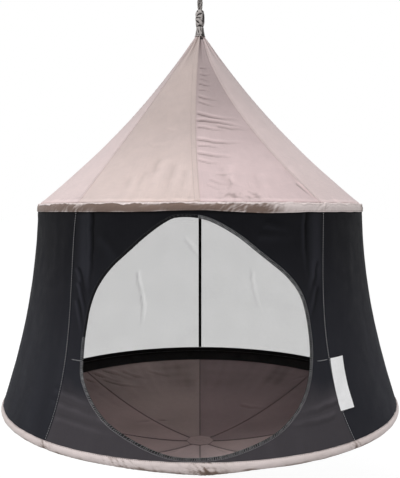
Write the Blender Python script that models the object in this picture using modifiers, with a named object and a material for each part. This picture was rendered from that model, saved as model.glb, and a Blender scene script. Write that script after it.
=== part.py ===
"""Hanging cocoon tent: a cone roof and a flared wall of cloth on two hoops, with a sagging floor.

Units are metres, +Z is up, the doorway faces -Y. The origin is the inside of the steel snap hook's
top, where a ceiling hook or a branch line bears, and the whole tent hangs below it.
Angles round the tent are measured from the doorway (-Y) towards +X.
"""
import math
from collections import namedtuple

import bmesh
import bpy
from mathutils import Matrix, Vector

# Clearances
GAP = 0.0003
HINGE_CLEARANCE = 0.0003

# Steel snap hook
HOOK_WIRE_RADIUS = 0.004
HOOK_INNER_WIDTH = 0.024
HOOK_INNER_LENGTH = 0.064
GATE_RADIUS = 0.0035
GATE_NOSE_DROP = 0.004
GATE_PIN_RADIUS = 0.00125
GATE_PIN_RISE = 0.002
TONGUE_THICKNESS = 0.0026
TONGUE_HEIGHT = 0.003
FORK_DEPTH_BELOW_PIN = 0.003
FORK_TURNING_ROOM = 0.0022

# Rope loop, its cover and the cuff that gathers the roof
ROPE_RADIUS = 0.0045
ROPE_STRAND_GAP = 0.0014
ROPE_TURNS = 1.25
ROPE_CLOSING_SHARE = 1 / 6
ROPE_UNTWISTED_SHARE = 1 / 5
ROPE_TAIL = 0.055
HOOK_BAR_TO_UPPER_HOOP = 0.835
COVER_TOP = 0.753
COVER_TOP_RADIUS = 0.0125
COVER_SHOULDER_SHARE = 0.15
COVER_SHOULDER_RADIUS = 0.01625
COVER_BELLY_SHARE = 0.4
COVER_BELLY_RADIUS = 0.0175
COVER_LOWER_SHARE = 0.7
COVER_LOWER_RADIUS = 0.01715
COVER_NIP_RADIUS = 0.0135
CUFF_TOP = 0.6945
CUFF_BOTTOM = 0.6575
CUFF_TOP_RADIUS = 0.0142
CUFF_BOTTOM_RADIUS = 0.0193
GATHERS = 6
GATHER_DEPTH = 0.0012
CUFF_GATHER_DEPTH = 0.0006

# Hoops and the sleeves that hold them
LOWER_HOOP_RADIUS = 0.735
UPPER_HOOP_RADIUS = 0.597
HOOP_SPACING = 0.7257
TUBE_RADIUS = 0.0125
TUBE_WALL = 0.0012
SLEEVE_WALL = 0.0015
SLEEVE_EASE = 0.0005
UPPER_SECTIONS = 3
LOWER_SECTIONS = 4
SPIGOT_LENGTH = 0.08
UPPER_SLEEVE_SLOT_ANGLE = 176.0
LOWER_SLEEVE_SLOT_ANGLE = 112.0
SLEEVE_SLOT_LENGTH = 0.06

# Cloth
CLOTH = 0.0012
NET = 0.001
ROOF_FLARE = 0.042
WALL_FLARE = 0.024
PANEL_HOLLOW = 0.007
SEAM_GAP = 0.0006
NECK_FOLD_DEPTH = 0.0025
NECK_FOLDS_PER_PANEL = 2
NECK_FOLD_START = 0.55
ROOF_SEAT_CORNER = 1
WALL_TOP_SEAT_CORNER = -1
WALL_FOOT_SEAT_CORNER = 1

# Seams: angle from the doorway, how far each is drawn sideways halfway up the roof and the wall, and
# how much more than that the wall's foot draws it than the wall's top
Seam = namedtuple("Seam", "angle roof_drift wall_drift wall_growth", defaults=(0.0, 0.0, 0.0))
SEAMS = (
    Seam(-180.0),
    Seam(-130.0),
    Seam(-85.0),
    Seam(-39.5, -0.040, 0.0105, 0.065),
    Seam(0.0, -0.015),
    Seam(39.5, -0.036, -0.037, -0.056),
    Seam(85.0),
    Seam(130.0),
    Seam(180.0),
)
SECTORS = (
    "rear_left", "side_rear_left", "side_front_left", "front_left",
    "front_right", "side_front_right", "side_rear_right", "rear_right",
)
WALL_PANEL_NAMES = (
    "rear_window_left", "wall_panel_side_rear_left", "wall_panel_side_front_left", "door_panel",
    "wall_panel_side_front_right", "wall_panel_side_rear_right", "rear_window_right",
)
STRAP_NAMES = (
    "wall_strap_rear_left", "wall_strap_side_left", "wall_strap_front_left",
    "wall_strap_front_right", "wall_strap_side_right", "wall_strap_rear_right", "wall_strap_rear_centre",
)

# Doorway, seen from the front: drops are below the upper hoop, the rise is above the wall's foot, and
# each bend is at a share of its half width (right of the middle above 0) and of its rise or drop
DOOR_CENTRE_DROP = 0.46
DOOR_TOP_DROP = 0.026
DOOR_FOOT_RISE = 0.006
DOOR_LEFT = 0.360
DOOR_RIGHT = 0.337
DOOR_BENDS = (
    (1.0, 0.03), (0.95, 0.37), (0.807, 0.563), (0.53, 0.748), (0.315, 0.878), (0.06, 0.98), (-0.16, 1.0),
    (-0.30, 0.96), (-0.531, 0.813), (-0.811, 0.585), (-0.95, 0.34), (-1.0, -0.02), (-0.957, -0.346),
    (-0.743, -0.70), (-0.311, -0.965), (0.05, -1.0), (0.374, -0.925), (0.70, -0.745), (0.924, -0.418),
)
DOORWAY_CUTTER_MARGIN = 0.15
DOOR_POINTS = 48
BINDING_RADIUS = 0.003

# Straps, label and floor
STRAP_WIDTH = 0.014
STRAP_THICKNESS = 0.0015
STRAP_EASE = 0.0004
STRAP_TOP_DROP = 0.022
STRAP_FOOT_RISE = 0.020
LABEL_WIDTH = 0.060
LABEL_HEIGHT = 0.155
LABEL_FOOT_RISE = 0.1047
LABEL_THICKNESS = 0.0008
LABEL_SEAM_OFFSET = 0.004
BAND_TOP_RISE = 0.022
BAND_BEND_DROP = 0.006
BAND_DROP = 0.031
BAND_REACH = 0.031
FLOOR_SAG = 0.167
FLOOR_SHAPE = 1.8
FLOOR_EYE_RADIUS = 0.018
PATCH_RADIUS = 0.055

# Fineness of the facets
HOOP_STEP = 7.5
LEAST_STEP = 0.075
CREASE_ANGLE = 50.0
WELD_DISTANCE = 0.00001
WALL_SEARCH_STEPS = 12
TUBE_SIDES = 8
ROOF_ROWS = 9
WALL_ROWS = 7
FLOOR_ROWS = 6
FLOOR_COLUMNS = 6
LABEL_ROWS = 4
LABEL_COLUMNS = 3
ROPE_POINTS_PER_LEG = 22
ROPE_TOP_STEPS = 8
ROPE_FOOT_STEPS = 6
HOOK_ARC_STEPS = 12
PIN_SIDES = 12
BAR_BEVEL = 2
BINDING_BEVEL = 1
TURNED_STEPS = 24

# Sizes that follow from the ones above
SLEEVE_BORE = TUBE_RADIUS + SLEEVE_EASE
SLEEVE_RADIUS = SLEEVE_BORE + SLEEVE_WALL
HOOK_LEG_X = HOOK_INNER_WIDTH / 2 + HOOK_WIRE_RADIUS
HOOK_TOP_ARC_Z = HOOK_WIRE_RADIUS - HOOK_LEG_X
HOOK_BAR_Z = -HOOK_INNER_LENGTH - HOOK_WIRE_RADIUS
HOOK_FOOT_ARC_Z = HOOK_BAR_Z + HOOK_LEG_X
GATE_NOSE_Z = HOOK_TOP_ARC_Z - GATE_NOSE_DROP
GATE_PIN_Z = HOOK_FOOT_ARC_Z + GATE_PIN_RISE
UPPER_HOOP_Z = HOOK_BAR_Z - HOOK_BAR_TO_UPPER_HOOP
LOWER_HOOP_Z = UPPER_HOOP_Z - HOOP_SPACING
ROPE_EYE_RADIUS = HOOK_WIRE_RADIUS + GAP + ROPE_RADIUS
ROPE_STRAND_OFFSET = ROPE_RADIUS + ROPE_STRAND_GAP / 2
ROPE_BORE = ROPE_STRAND_OFFSET + ROPE_RADIUS + GAP
ROPE_END_Z = UPPER_HOOP_Z + CUFF_BOTTOM - ROPE_TAIL
HALF_CHORD = math.radians(HOOP_STEP / 2)
CUTTER_REACH = 2 * HOOK_WIRE_RADIUS
PIVOT_MARK = 0.05

Finish = namedtuple("Finish", "colour roughness metallic")
FINISHES = {
    "steel": Finish((0.55, 0.56, 0.58), 0.25, 1.0),
    "coated_steel": Finish((0.30, 0.30, 0.31), 0.45, 0.6),
    "rope": Finish((0.20, 0.19, 0.18), 0.9, 0.0),
    "roof_cloth": Finish((0.62, 0.53, 0.51), 0.85, 0.0),
    "wall_cloth": Finish((0.022, 0.023, 0.028), 0.8, 0.0),
    "net": Finish((0.55, 0.55, 0.55), 0.9, 0.0),
    "webbing": Finish((0.012, 0.012, 0.012), 0.85, 0.0),
    "floor_cloth": Finish((0.105, 0.085, 0.080), 0.75, 0.0),
    "label": Finish((0.85, 0.85, 0.85), 0.7, 0.0),
}


def clear_scene():
    """Removes whatever the new file holds."""
    for item in list(bpy.data.objects):
        bpy.data.objects.remove(item, do_unlink=True)


def make_collection(name):
    """A collection under the scene's own."""
    collection = bpy.data.collections.new(name)
    bpy.context.scene.collection.children.link(collection)
    return collection


def make_material(name, finish):
    """A plain Principled material."""
    material = bpy.data.materials.new(name)
    material.use_nodes = True
    shader = material.node_tree.nodes["Principled BSDF"]
    shader.inputs["Base Color"].default_value = (*finish.colour, 1.0)
    shader.inputs["Roughness"].default_value = finish.roughness
    shader.inputs["Metallic"].default_value = finish.metallic
    return material


def make_pivot(name, position, parent):
    """An empty on a joint's axis, which carries the pieces that move with it."""
    pivot = bpy.data.objects.new(name, None)
    pivot.empty_display_size = PIVOT_MARK
    TENT.objects.link(pivot)
    pivot.parent = parent
    pivot.location = position - (WORLD_PLACE[parent.name] if parent else Vector())
    WORLD_PLACE[name] = position
    return pivot


def add_piece(name, data, finish, pivot, smooth=True):
    """Adds a mesh that was drawn in world coordinates, with its origin on its pivot."""
    data.transform(Matrix.Translation(-WORLD_PLACE[pivot.name]))
    if smooth:
        data.shade_smooth()
        data.set_sharp_from_angle(angle=math.radians(CREASE_ANGLE))
    data.materials.append(make_material(name, FINISHES[finish]))
    piece = bpy.data.objects.new(name, data)
    TENT.objects.link(piece)
    piece.parent = pivot
    return piece


def mesh_from(bm, name):
    """Turns a finished bmesh into a mesh whose faces look outwards."""
    bmesh.ops.recalc_face_normals(bm, faces=bm.faces)
    data = bpy.data.meshes.new(name)
    bm.to_mesh(data)
    bm.free()
    return data


def evaluated_mesh(piece):
    """The mesh that a piece shows with its modifiers or its bevel, with the caps welded."""
    graph = bpy.context.evaluated_depsgraph_get()
    data = bpy.data.meshes.new_from_object(piece.evaluated_get(graph))
    bm = bmesh.new()
    bm.from_mesh(data)
    bmesh.ops.transform(bm, matrix=piece.matrix_world, verts=bm.verts)
    bmesh.ops.remove_doubles(bm, verts=bm.verts, dist=WELD_DISTANCE)
    bmesh.ops.recalc_face_normals(bm, faces=bm.faces)
    bm.to_mesh(data)
    bm.free()
    return data


def add_cutter(name, data):
    """Keeps a mesh as a cutter, out of the render."""
    cutter = bpy.data.objects.new(name, data)
    CUTTERS.objects.link(cutter)
    cutter.hide_render = True
    cutter.display_type = "WIRE"
    return cutter


def cut(piece, cutter):
    """Takes a cutter out of a piece."""
    modifier = piece.modifiers.new(cutter.name, "BOOLEAN")
    modifier.operation = "DIFFERENCE"
    modifier.solver = "EXACT"
    modifier.object = cutter


def box_mesh(name, low, high):
    """A box between two corners."""
    bm = bmesh.new()
    size = Vector(high) - Vector(low)
    middle = (Vector(high) + Vector(low)) / 2
    bmesh.ops.create_cube(bm, size=1.0, matrix=Matrix.Translation(middle) @ Matrix.Diagonal((*size, 1.0)))
    return mesh_from(bm, name)


def rod_mesh(name, radius, length, middle, sides):
    """A rod along Y."""
    bm = bmesh.new()
    turn = Matrix.Translation(middle) @ Matrix.Rotation(math.pi / 2, 4, "X")
    bmesh.ops.create_cone(
        bm, cap_ends=True, segments=sides, radius1=radius, radius2=radius, depth=length, matrix=turn
    )
    return mesh_from(bm, name)


def wire_mesh(name, points, radius, closed, resolution):
    """A round bar or rope along points."""
    curve = bpy.data.curves.new(name, "CURVE")
    curve.dimensions = "3D"
    curve.bevel_depth = radius
    curve.bevel_resolution = resolution
    curve.use_fill_caps = not closed
    spline = curve.splines.new("POLY")
    spline.points.add(len(points) - 1)
    for point, place in zip(spline.points, points):
        point.co = (*place, 1.0)
    spline.use_cyclic_u = closed
    drawn = bpy.data.objects.new(name + "_line", curve)
    TENT.objects.link(drawn)
    bpy.context.view_layer.update()
    data = evaluated_mesh(drawn)
    bpy.data.objects.remove(drawn, do_unlink=True)
    data.materials.clear()
    return data


def round_place(radius, angle, z):
    """The point at an angle in degrees from the doorway."""
    turn = math.radians(angle)
    return Vector((radius * math.sin(turn), -radius * math.cos(turn), z))


def chord_radius(radius, angle):
    """The radius of a hoop's straight facet at an angle, so that nested rings keep their gaps."""
    middle = (math.floor(angle / HOOP_STEP) + 0.5) * HOOP_STEP
    return radius * math.cos(HALF_CHORD) / math.cos(math.radians(angle - middle))


def facet_angles(start, end):
    """The angles from start to end at which a ring has a section."""
    angles = [start]
    step = math.floor(start / HOOP_STEP) + 1
    while step * HOOP_STEP < end - LEAST_STEP:
        if step * HOOP_STEP > start + LEAST_STEP:
            angles.append(step * HOOP_STEP)
        step += 1
    angles.append(end)
    return angles


def swept_ring(name, hoop_radius, z, outline, start, end):
    """Sweeps closed section loops, given as (outwards, up) offsets, round part of a hoop.

    One loop makes a solid bar, and a second loop inside it makes a tube that is open at its ends.
    """
    bm = bmesh.new()
    sections = []
    for angle in facet_angles(start, end):
        base = chord_radius(hoop_radius, angle)
        scale = base / hoop_radius
        section = []
        for loop in outline:
            section.append([bm.verts.new(round_place(base + out * scale, angle, z + up)) for out, up in loop])
        sections.append(section)
    for here, there in zip(sections, sections[1:]):
        for ring_a, ring_b in zip(here, there):
            for i in range(len(ring_a)):
                j = (i + 1) % len(ring_a)
                bm.faces.new((ring_a[i], ring_a[j], ring_b[j], ring_b[i]))
    for section in (sections[0], sections[-1]):
        if len(section) == 1:
            bm.faces.new(section[0])
            continue
        outer, inner = section
        for i in range(len(outer)):
            j = (i + 1) % len(outer)
            bm.faces.new((outer[i], outer[j], inner[j], inner[i]))
    return mesh_from(bm, name)


def circle_loop(radius):
    """A tube's section, with a flat facing each neighbour."""
    steps = [2 * math.pi * (i + 0.5) / TUBE_SIDES for i in range(TUBE_SIDES)]
    return [(radius * math.cos(a), radius * math.sin(a)) for a in steps]


def turned_mesh(name, profile, folds, depth):
    """Turns a closed (radius, height) profile about Z, with shallow gathers on its outer side."""
    bm = bmesh.new()
    rings = []
    bore = min(radius for radius, _ in profile)
    for i in range(TURNED_STEPS):
        angle = 360.0 * i / TURNED_STEPS
        wave = math.cos(math.radians(angle * folds))
        ring = []
        for radius, z in profile:
            drawn = radius + depth * wave if radius > bore + 2 * depth else radius
            ring.append(bm.verts.new(round_place(drawn, angle, z)))
        rings.append(ring)
    for i, here in enumerate(rings):
        there = rings[(i + 1) % TURNED_STEPS]
        for j in range(len(profile)):
            k = (j + 1) % len(profile)
            bm.faces.new((here[j], here[k], there[k], there[j]))
    return mesh_from(bm, name)


def cloth_mesh(name, rows, columns, place, thickness, side):
    """A sheet whose points come from place(across, along), thickened on one side.

    Side 1 is the outer or upper side of a sheet that runs upwards or inwards, and side -1 is the
    outer side of one that runs downwards.
    """
    bm = bmesh.new()
    bmesh.ops.create_grid(bm, x_segments=columns, y_segments=rows, size=0.5)
    for vert in bm.verts:
        vert.co = place(min(max(vert.co.x + 0.5, 0.0), 1.0), min(max(vert.co.y + 0.5, 0.0), 1.0))
    data = bpy.data.meshes.new(name)
    bm.to_mesh(data)
    bm.free()
    sheet = bpy.data.objects.new(name + "_sheet", data)
    TENT.objects.link(sheet)
    solid = sheet.modifiers.new("thickness", "SOLIDIFY")
    solid.thickness = thickness
    solid.offset = side
    bpy.context.view_layer.update()
    thick = evaluated_mesh(sheet)
    bpy.data.objects.remove(sheet, do_unlink=True)
    return thick


def smooth(value):
    """Eases from 0 to 1."""
    value = min(max(value, 0.0), 1.0)
    return value * value * (3 - 2 * value)


Run = namedtuple("Run", "start end flare side hollow")


def seat(hoop_radius, hoop_z, corner):
    """Where a sheet's inner side meets a sleeve: at a corner of its section, counted up from level."""
    reach = SLEEVE_RADIUS + GAP
    turn = 2 * math.pi * (corner + 0.5) / TUBE_SIDES
    return hoop_radius + reach * math.cos(turn), hoop_z + reach * math.sin(turn)


ROOF = Run(
    seat(UPPER_HOOP_RADIUS, UPPER_HOOP_Z, ROOF_SEAT_CORNER),
    (CUFF_BOTTOM_RADIUS - CLOTH, UPPER_HOOP_Z + CUFF_BOTTOM - GAP - CLOTH),
    ROOF_FLARE, 1.0, PANEL_HOLLOW,
)
WALL = Run(
    seat(UPPER_HOOP_RADIUS, UPPER_HOOP_Z, WALL_TOP_SEAT_CORNER),
    seat(LOWER_HOOP_RADIUS, LOWER_HOOP_Z, WALL_FOOT_SEAT_CORNER),
    WALL_FLARE, -1.0, PANEL_HOLLOW,
)


def bow(share):
    """Rises from 0 to 1 halfway and falls back."""
    return 4 * share * (1 - share)


def run_radius(run, along):
    """A cloth run's radius at its seams: a straight line drawn in by the flare."""
    straight = run.start[0] + (run.end[0] - run.start[0]) * along
    return straight - run.flare * bow(along)


def facet_run_radius(run, rows, along):
    """A run's radius on the straight facets between its rows."""
    row = min(math.floor(along * rows), rows - 1)
    share = along * rows - row
    near = run_radius(run, row / rows)
    far = run_radius(run, (row + 1) / rows)
    return near + (far - near) * share


def run_height(run, along):
    """A cloth run's height."""
    return run.start[1] + (run.end[1] - run.start[1]) * along


def run_share(run, z):
    """How far along a run a height lies."""
    return (z - run.start[1]) / (run.end[1] - run.start[1])


def seam_angle(seam, run, along):
    """A seam's angle at a share of the way along its run."""
    drift = seam.roof_drift if run is ROOF else seam.wall_drift + seam.wall_growth * (along - 0.5)
    return seam.angle + math.degrees(drift * bow(along) / run_radius(run, along))


def wall_seams():
    """The seams of the wall: the doorway panel has none at its middle."""
    return [seam for seam in SEAMS if seam.angle != 0.0]


def hollow_at(run, seams, angle, along):
    """How far the cloth is drawn in between two seams."""
    edges = [seam_angle(seam, run, along) for seam in seams]
    for left, right in zip(edges, edges[1:]):
        if left <= angle <= right:
            share = (angle - left) / (right - left)
            return run.hollow * math.sin(math.pi * share) ** 2 * bow(along)
    return 0.0


def wall_point(angle, z, out):
    """A point on the wall's inner side, moved outwards by out."""
    along = run_share(WALL, z)
    radius = facet_run_radius(WALL, WALL_ROWS, along) - hollow_at(WALL, wall_seams(), angle, along)
    return round_place(radius + out, angle, z)


def build_hook():
    """The steel snap hook: its bent body, its sprung gate and the pin they share."""
    points = [Vector((HOOK_LEG_X, 0, GATE_NOSE_Z))]
    for i in range(HOOK_ARC_STEPS + 1):
        turn = math.pi * i / HOOK_ARC_STEPS
        points.append(Vector((HOOK_LEG_X * math.cos(turn), 0, HOOK_TOP_ARC_Z + HOOK_LEG_X * math.sin(turn))))
    for i in range(HOOK_ARC_STEPS + 1):
        turn = math.pi + math.pi * i / HOOK_ARC_STEPS
        points.append(Vector((HOOK_LEG_X * math.cos(turn), 0, HOOK_FOOT_ARC_Z + HOOK_LEG_X * math.sin(turn))))
    points.append(Vector((HOOK_LEG_X, 0, GATE_PIN_Z + TONGUE_HEIGHT)))
    bar = wire_mesh("carabiner_body", points, HOOK_WIRE_RADIUS, False, BAR_BEVEL)
    body = add_piece("carabiner_body", bar, "steel", HOOK)
    shoulder_z = GATE_PIN_Z - FORK_DEPTH_BELOW_PIN - FORK_TURNING_ROOM
    for side in (-1, 1):
        near = side * TONGUE_THICKNESS / 2
        far = side * CUTTER_REACH
        low = (HOOK_LEG_X - CUTTER_REACH, min(near, far), shoulder_z)
        high = (HOOK_LEG_X + CUTTER_REACH, max(near, far), GATE_PIN_Z + CUTTER_REACH)
        name = "tongue_side_left" if side < 0 else "tongue_side_right"
        cut(body, add_cutter(name, box_mesh(name, low, high)))
    middle = (HOOK_LEG_X, 0, GATE_PIN_Z)
    bore = GATE_PIN_RADIUS + HINGE_CLEARANCE
    pin_hole = add_cutter("pin_hole", rod_mesh("pin_hole", bore, 2 * CUTTER_REACH, middle, PIN_SIDES))
    cut(body, pin_hole)

    ends = [
        Vector((HOOK_LEG_X, 0, GATE_PIN_Z - FORK_DEPTH_BELOW_PIN)),
        Vector((HOOK_LEG_X, 0, (GATE_PIN_Z + GATE_NOSE_Z) / 2)),
        Vector((HOOK_LEG_X, 0, GATE_NOSE_Z - GAP)),
    ]
    bar = wire_mesh("carabiner_gate", ends, GATE_RADIUS, False, BAR_BEVEL)
    gate = add_piece("carabiner_gate", bar, "steel", GATE)
    half_slot = TONGUE_THICKNESS / 2 + HINGE_CLEARANCE
    slot_top = GATE_PIN_Z + TONGUE_HEIGHT + FORK_TURNING_ROOM
    low = (HOOK_LEG_X - CUTTER_REACH, -half_slot, GATE_PIN_Z - CUTTER_REACH)
    high = (HOOK_LEG_X + CUTTER_REACH, half_slot, slot_top)
    cut(gate, add_cutter("fork_slot", box_mesh("fork_slot", low, high)))
    cut(gate, pin_hole)
    length = 2 * GATE_RADIUS - 2 * GAP
    pin = rod_mesh("carabiner_pin", GATE_PIN_RADIUS, length, middle, PIN_SIDES)
    add_piece("carabiner_pin", pin, "steel", HOOK)


def rope_leg(side):
    """One leg of the rope loop, from the hook's bar down to the tail, twisted round the other."""
    points = []
    for i in range(ROPE_POINTS_PER_LEG + 1):
        share = i / ROPE_POINTS_PER_LEG
        z = HOOK_BAR_Z + (ROPE_END_Z - HOOK_BAR_Z) * share
        narrowing = smooth(share / ROPE_CLOSING_SHARE)
        offset = ROPE_EYE_RADIUS + (ROPE_STRAND_OFFSET - ROPE_EYE_RADIUS) * narrowing
        turn = 2 * math.pi * ROPE_TURNS * share * smooth(share / ROPE_UNTWISTED_SHARE)
        points.append(Vector((side * offset * math.sin(turn), side * offset * math.cos(turn), z)))
    return points


def build_hanger():
    """The twisted rope loop, the gathered cover round it and the cuff at the roof's neck."""
    down = rope_leg(1)
    up = rope_leg(-1)[::-1]
    over = []
    for i in range(1, ROPE_TOP_STEPS):
        turn = math.pi * i / ROPE_TOP_STEPS
        aside = -ROPE_EYE_RADIUS * math.cos(turn)
        over.append(Vector((0, aside, HOOK_BAR_Z + ROPE_EYE_RADIUS * math.sin(turn))))
    under = []
    across = down[-1] - Vector((0, 0, ROPE_END_Z))
    for i in range(1, ROPE_FOOT_STEPS):
        turn = math.pi * i / ROPE_FOOT_STEPS
        drop = Vector((0, 0, -ROPE_STRAND_OFFSET * math.sin(turn)))
        under.append(Vector((0, 0, ROPE_END_Z)) + across * math.cos(turn) + drop)
    rope = wire_mesh("hanging_rope_loop", down + under + up + over, ROPE_RADIUS, True, BAR_BEVEL)
    add_piece("hanging_rope_loop", rope, "rope", CANOPY)

    base = UPPER_HOOP_Z
    nip_z = base + CUFF_TOP + GAP
    top_z = base + COVER_TOP
    span = top_z - nip_z
    cover = [
        (COVER_TOP_RADIUS, top_z),
        (COVER_SHOULDER_RADIUS, top_z - span * COVER_SHOULDER_SHARE),
        (COVER_BELLY_RADIUS, top_z - span * COVER_BELLY_SHARE),
        (COVER_LOWER_RADIUS, top_z - span * COVER_LOWER_SHARE),
        (COVER_NIP_RADIUS, nip_z),
        (ROPE_BORE, nip_z),
        (ROPE_BORE, top_z),
    ]
    add_piece("rope_cover", turned_mesh("rope_cover", cover, GATHERS, GATHER_DEPTH), "roof_cloth", CANOPY)
    cuff_top_z = base + CUFF_TOP
    cuff_foot_z = base + CUFF_BOTTOM
    cuff = [
        (CUFF_TOP_RADIUS, cuff_top_z),
        ((CUFF_TOP_RADIUS + CUFF_BOTTOM_RADIUS) / 2, (cuff_top_z + cuff_foot_z) / 2),
        (CUFF_BOTTOM_RADIUS, cuff_foot_z),
        (ROPE_BORE, cuff_foot_z),
        (ROPE_BORE, cuff_top_z),
    ]
    add_piece("neck_cuff", turned_mesh("neck_cuff", cuff, GATHERS, CUFF_GATHER_DEPTH), "roof_cloth", CANOPY)


def panel_point(run, left, right, crease, along, radius):
    """A point at one crease of the panel between two seams, where its seams have this radius."""
    share = (crease - left.angle) / (right.angle - left.angle)
    margin = math.degrees(SEAM_GAP / 2 / radius)
    start = seam_angle(left, run, along) + margin
    end = seam_angle(right, run, along) - margin
    drawn = radius - run.hollow * math.sin(math.pi * share) ** 2 * bow(along)
    if run is ROOF:
        gather = smooth((along - NECK_FOLD_START) / (1 - NECK_FOLD_START))
        wave = 1 - math.cos(2 * math.pi * NECK_FOLDS_PER_PANEL * share)
        drawn -= NECK_FOLD_DEPTH * gather * wave / 2
    angle = start + (end - start) * share
    return round_place(chord_radius(drawn, crease), angle, run_height(run, along))


def panel_mesh(name, run, seams, index, rows, thickness):
    """One panel between two seams, creased where the hoop is, with the gathers at the roof's neck."""
    left, right = seams[index], seams[index + 1]
    creases = facet_angles(left.angle, right.angle)
    columns = len(creases) - 1

    def place(across, along):
        crease = creases[round(across * columns)]
        return panel_point(run, left, right, crease, along, run_radius(run, along))

    return cloth_mesh(name, rows, columns, place, thickness, run.side)


def build_roof():
    """Eight roof panels between the upper hoop and the cuff."""
    for index, sector in enumerate(SECTORS):
        name = "roof_panel_" + sector
        add_piece(name, panel_mesh(name, ROOF, SEAMS, index, ROOF_ROWS, CLOTH), "roof_cloth", CANOPY)


def door_outline():
    """The doorway's outline from the front, as (x, height) points."""
    centre_z = UPPER_HOOP_Z - DOOR_CENTRE_DROP
    rise = DOOR_CENTRE_DROP - DOOR_TOP_DROP
    drop = centre_z - WALL.end[1] - DOOR_FOOT_RISE
    bends = []
    for across, up in DOOR_BENDS:
        x = across * (DOOR_RIGHT if across > 0 else DOOR_LEFT)
        bends.append(Vector((x, centre_z + up * (rise if up > 0 else drop))))
    return [curve_point(bends, len(bends) * i / DOOR_POINTS) for i in range(DOOR_POINTS)]


def curve_point(bends, place):
    """A point on the closed smooth curve through some bends, counted from the first bend."""
    number = math.floor(place)
    share = place - number
    before, start, end, after = (bends[(number + step) % len(bends)] for step in (-1, 0, 1, 2))
    bow_in = 2 * before - 5 * start + 4 * end - after
    bow_out = 3 * start - before - 3 * end + after
    return start + (share * (end - before) + share ** 2 * bow_in + share ** 3 * bow_out) / 2


def drawn_in(outline, inset):
    """A closed outline that runs anticlockwise, moved inwards by the same distance all round."""
    moved = []
    for i, point in enumerate(outline):
        before = (point - outline[i - 1]).normalized()
        after = (outline[(i + 1) % len(outline)] - point).normalized()
        inwards = Vector((-before.y - after.y, before.x + after.x)).normalized()
        corner_cosine = inwards.x * -before.y + inwards.y * before.x
        moved.append(point + inwards * (inset / corner_cosine))
    return moved


def wall_y(x, z, out):
    """The wall's front surface at an (x, height) seen from the front."""
    angle = 0.0
    for _ in range(WALL_SEARCH_STEPS):
        point = wall_point(angle, z, out)
        radius = math.hypot(point.x, point.y)
        angle = math.degrees(math.asin(max(min(x / radius, 1.0), -1.0)))
    return wall_point(angle, z, out).y


def build_wall():
    """The door panel with its bound opening, the side panels, the net windows, straps and label."""
    seams = wall_seams()
    front = WALL_PANEL_NAMES.index("door_panel")
    for index, name in enumerate(WALL_PANEL_NAMES):
        windowed = name.startswith("rear_window")
        data = panel_mesh(name, WALL, seams, index, WALL_ROWS, NET if windowed else CLOTH)
        panel = add_piece(name, data, "net" if windowed else "wall_cloth", UPPER)
        if index == front:
            outline = door_outline()
            bm = bmesh.new()
            rings = []
            front_y = -LOWER_HOOP_RADIUS - DOORWAY_CUTTER_MARGIN
            for y in (front_y, front_y + LOWER_HOOP_RADIUS):
                rings.append([bm.verts.new((p.x, y, p.y)) for p in outline])
            bm.faces.new(rings[0])
            bm.faces.new(rings[1][::-1])
            for i in range(DOOR_POINTS):
                j = (i + 1) % DOOR_POINTS
                bm.faces.new((rings[0][i], rings[0][j], rings[1][j], rings[1][i]))
            cut(panel, add_cutter("doorway", mesh_from(bm, "doorway")))
    edge = []
    for point in drawn_in(door_outline(), BINDING_RADIUS + GAP):
        edge.append(Vector((point.x, wall_y(point.x, point.y, CLOTH / 2), point.y)))
    binding = wire_mesh("door_binding", edge, BINDING_RADIUS, True, BINDING_BEVEL)
    add_piece("door_binding", binding, "webbing", UPPER)

    for seam, name in zip(seams[1:], STRAP_NAMES):
        add_piece(name, strap_mesh(name, seam), "webbing", UPPER)
    add_piece("side_label", label_mesh(seams[front + 1], seams[front + 2]), "label", UPPER)


def strap_mesh(name, seam):
    """A webbing strap inside a wall seam, from hoop to hoop, bent where the wall's rows bend."""
    top = run_share(WALL, UPPER_HOOP_Z - STRAP_TOP_DROP)
    foot = run_share(WALL, LOWER_HOOP_Z + STRAP_FOOT_RISE)
    bends = [top] + [row / WALL_ROWS for row in range(1, WALL_ROWS)] + [foot]
    rows = len(bends) - 1

    def place(across, down):
        along = bends[round(down * rows)]
        radius = facet_run_radius(WALL, WALL_ROWS, along)
        aside = math.degrees(STRAP_WIDTH / 2 / radius) * (2 * across - 1)
        inner = chord_radius(radius, seam.angle + aside) - GAP - STRAP_EASE - STRAP_THICKNESS
        return round_place(inner, seam_angle(seam, WALL, along) + aside, run_height(WALL, along))

    return cloth_mesh(name, rows, 1, place, STRAP_THICKNESS, WALL.side)


def label_mesh(left, right):
    """The blank tag sewn into the seam right of the doorway, which lies on the wall beside that seam."""
    creases = facet_angles(left.angle, right.angle)
    top = LOWER_HOOP_Z + LABEL_FOOT_RISE + LABEL_HEIGHT

    def place(across, down):
        along = run_share(WALL, top - LABEL_HEIGHT * down)
        radius = facet_run_radius(WALL, WALL_ROWS, along)
        near = panel_point(WALL, left, right, creases[0], along, radius)
        far = panel_point(WALL, left, right, creases[1], along, radius)
        aside = (far - near).normalized()
        outwards = Vector((aside.y, -aside.x, 0.0))
        return near + aside * (LABEL_SEAM_OFFSET + LABEL_WIDTH * across) + outwards * (CLOTH + GAP)

    return cloth_mesh("side_label", LABEL_ROWS, LABEL_COLUMNS, place, LABEL_THICKNESS, WALL.side)


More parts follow.
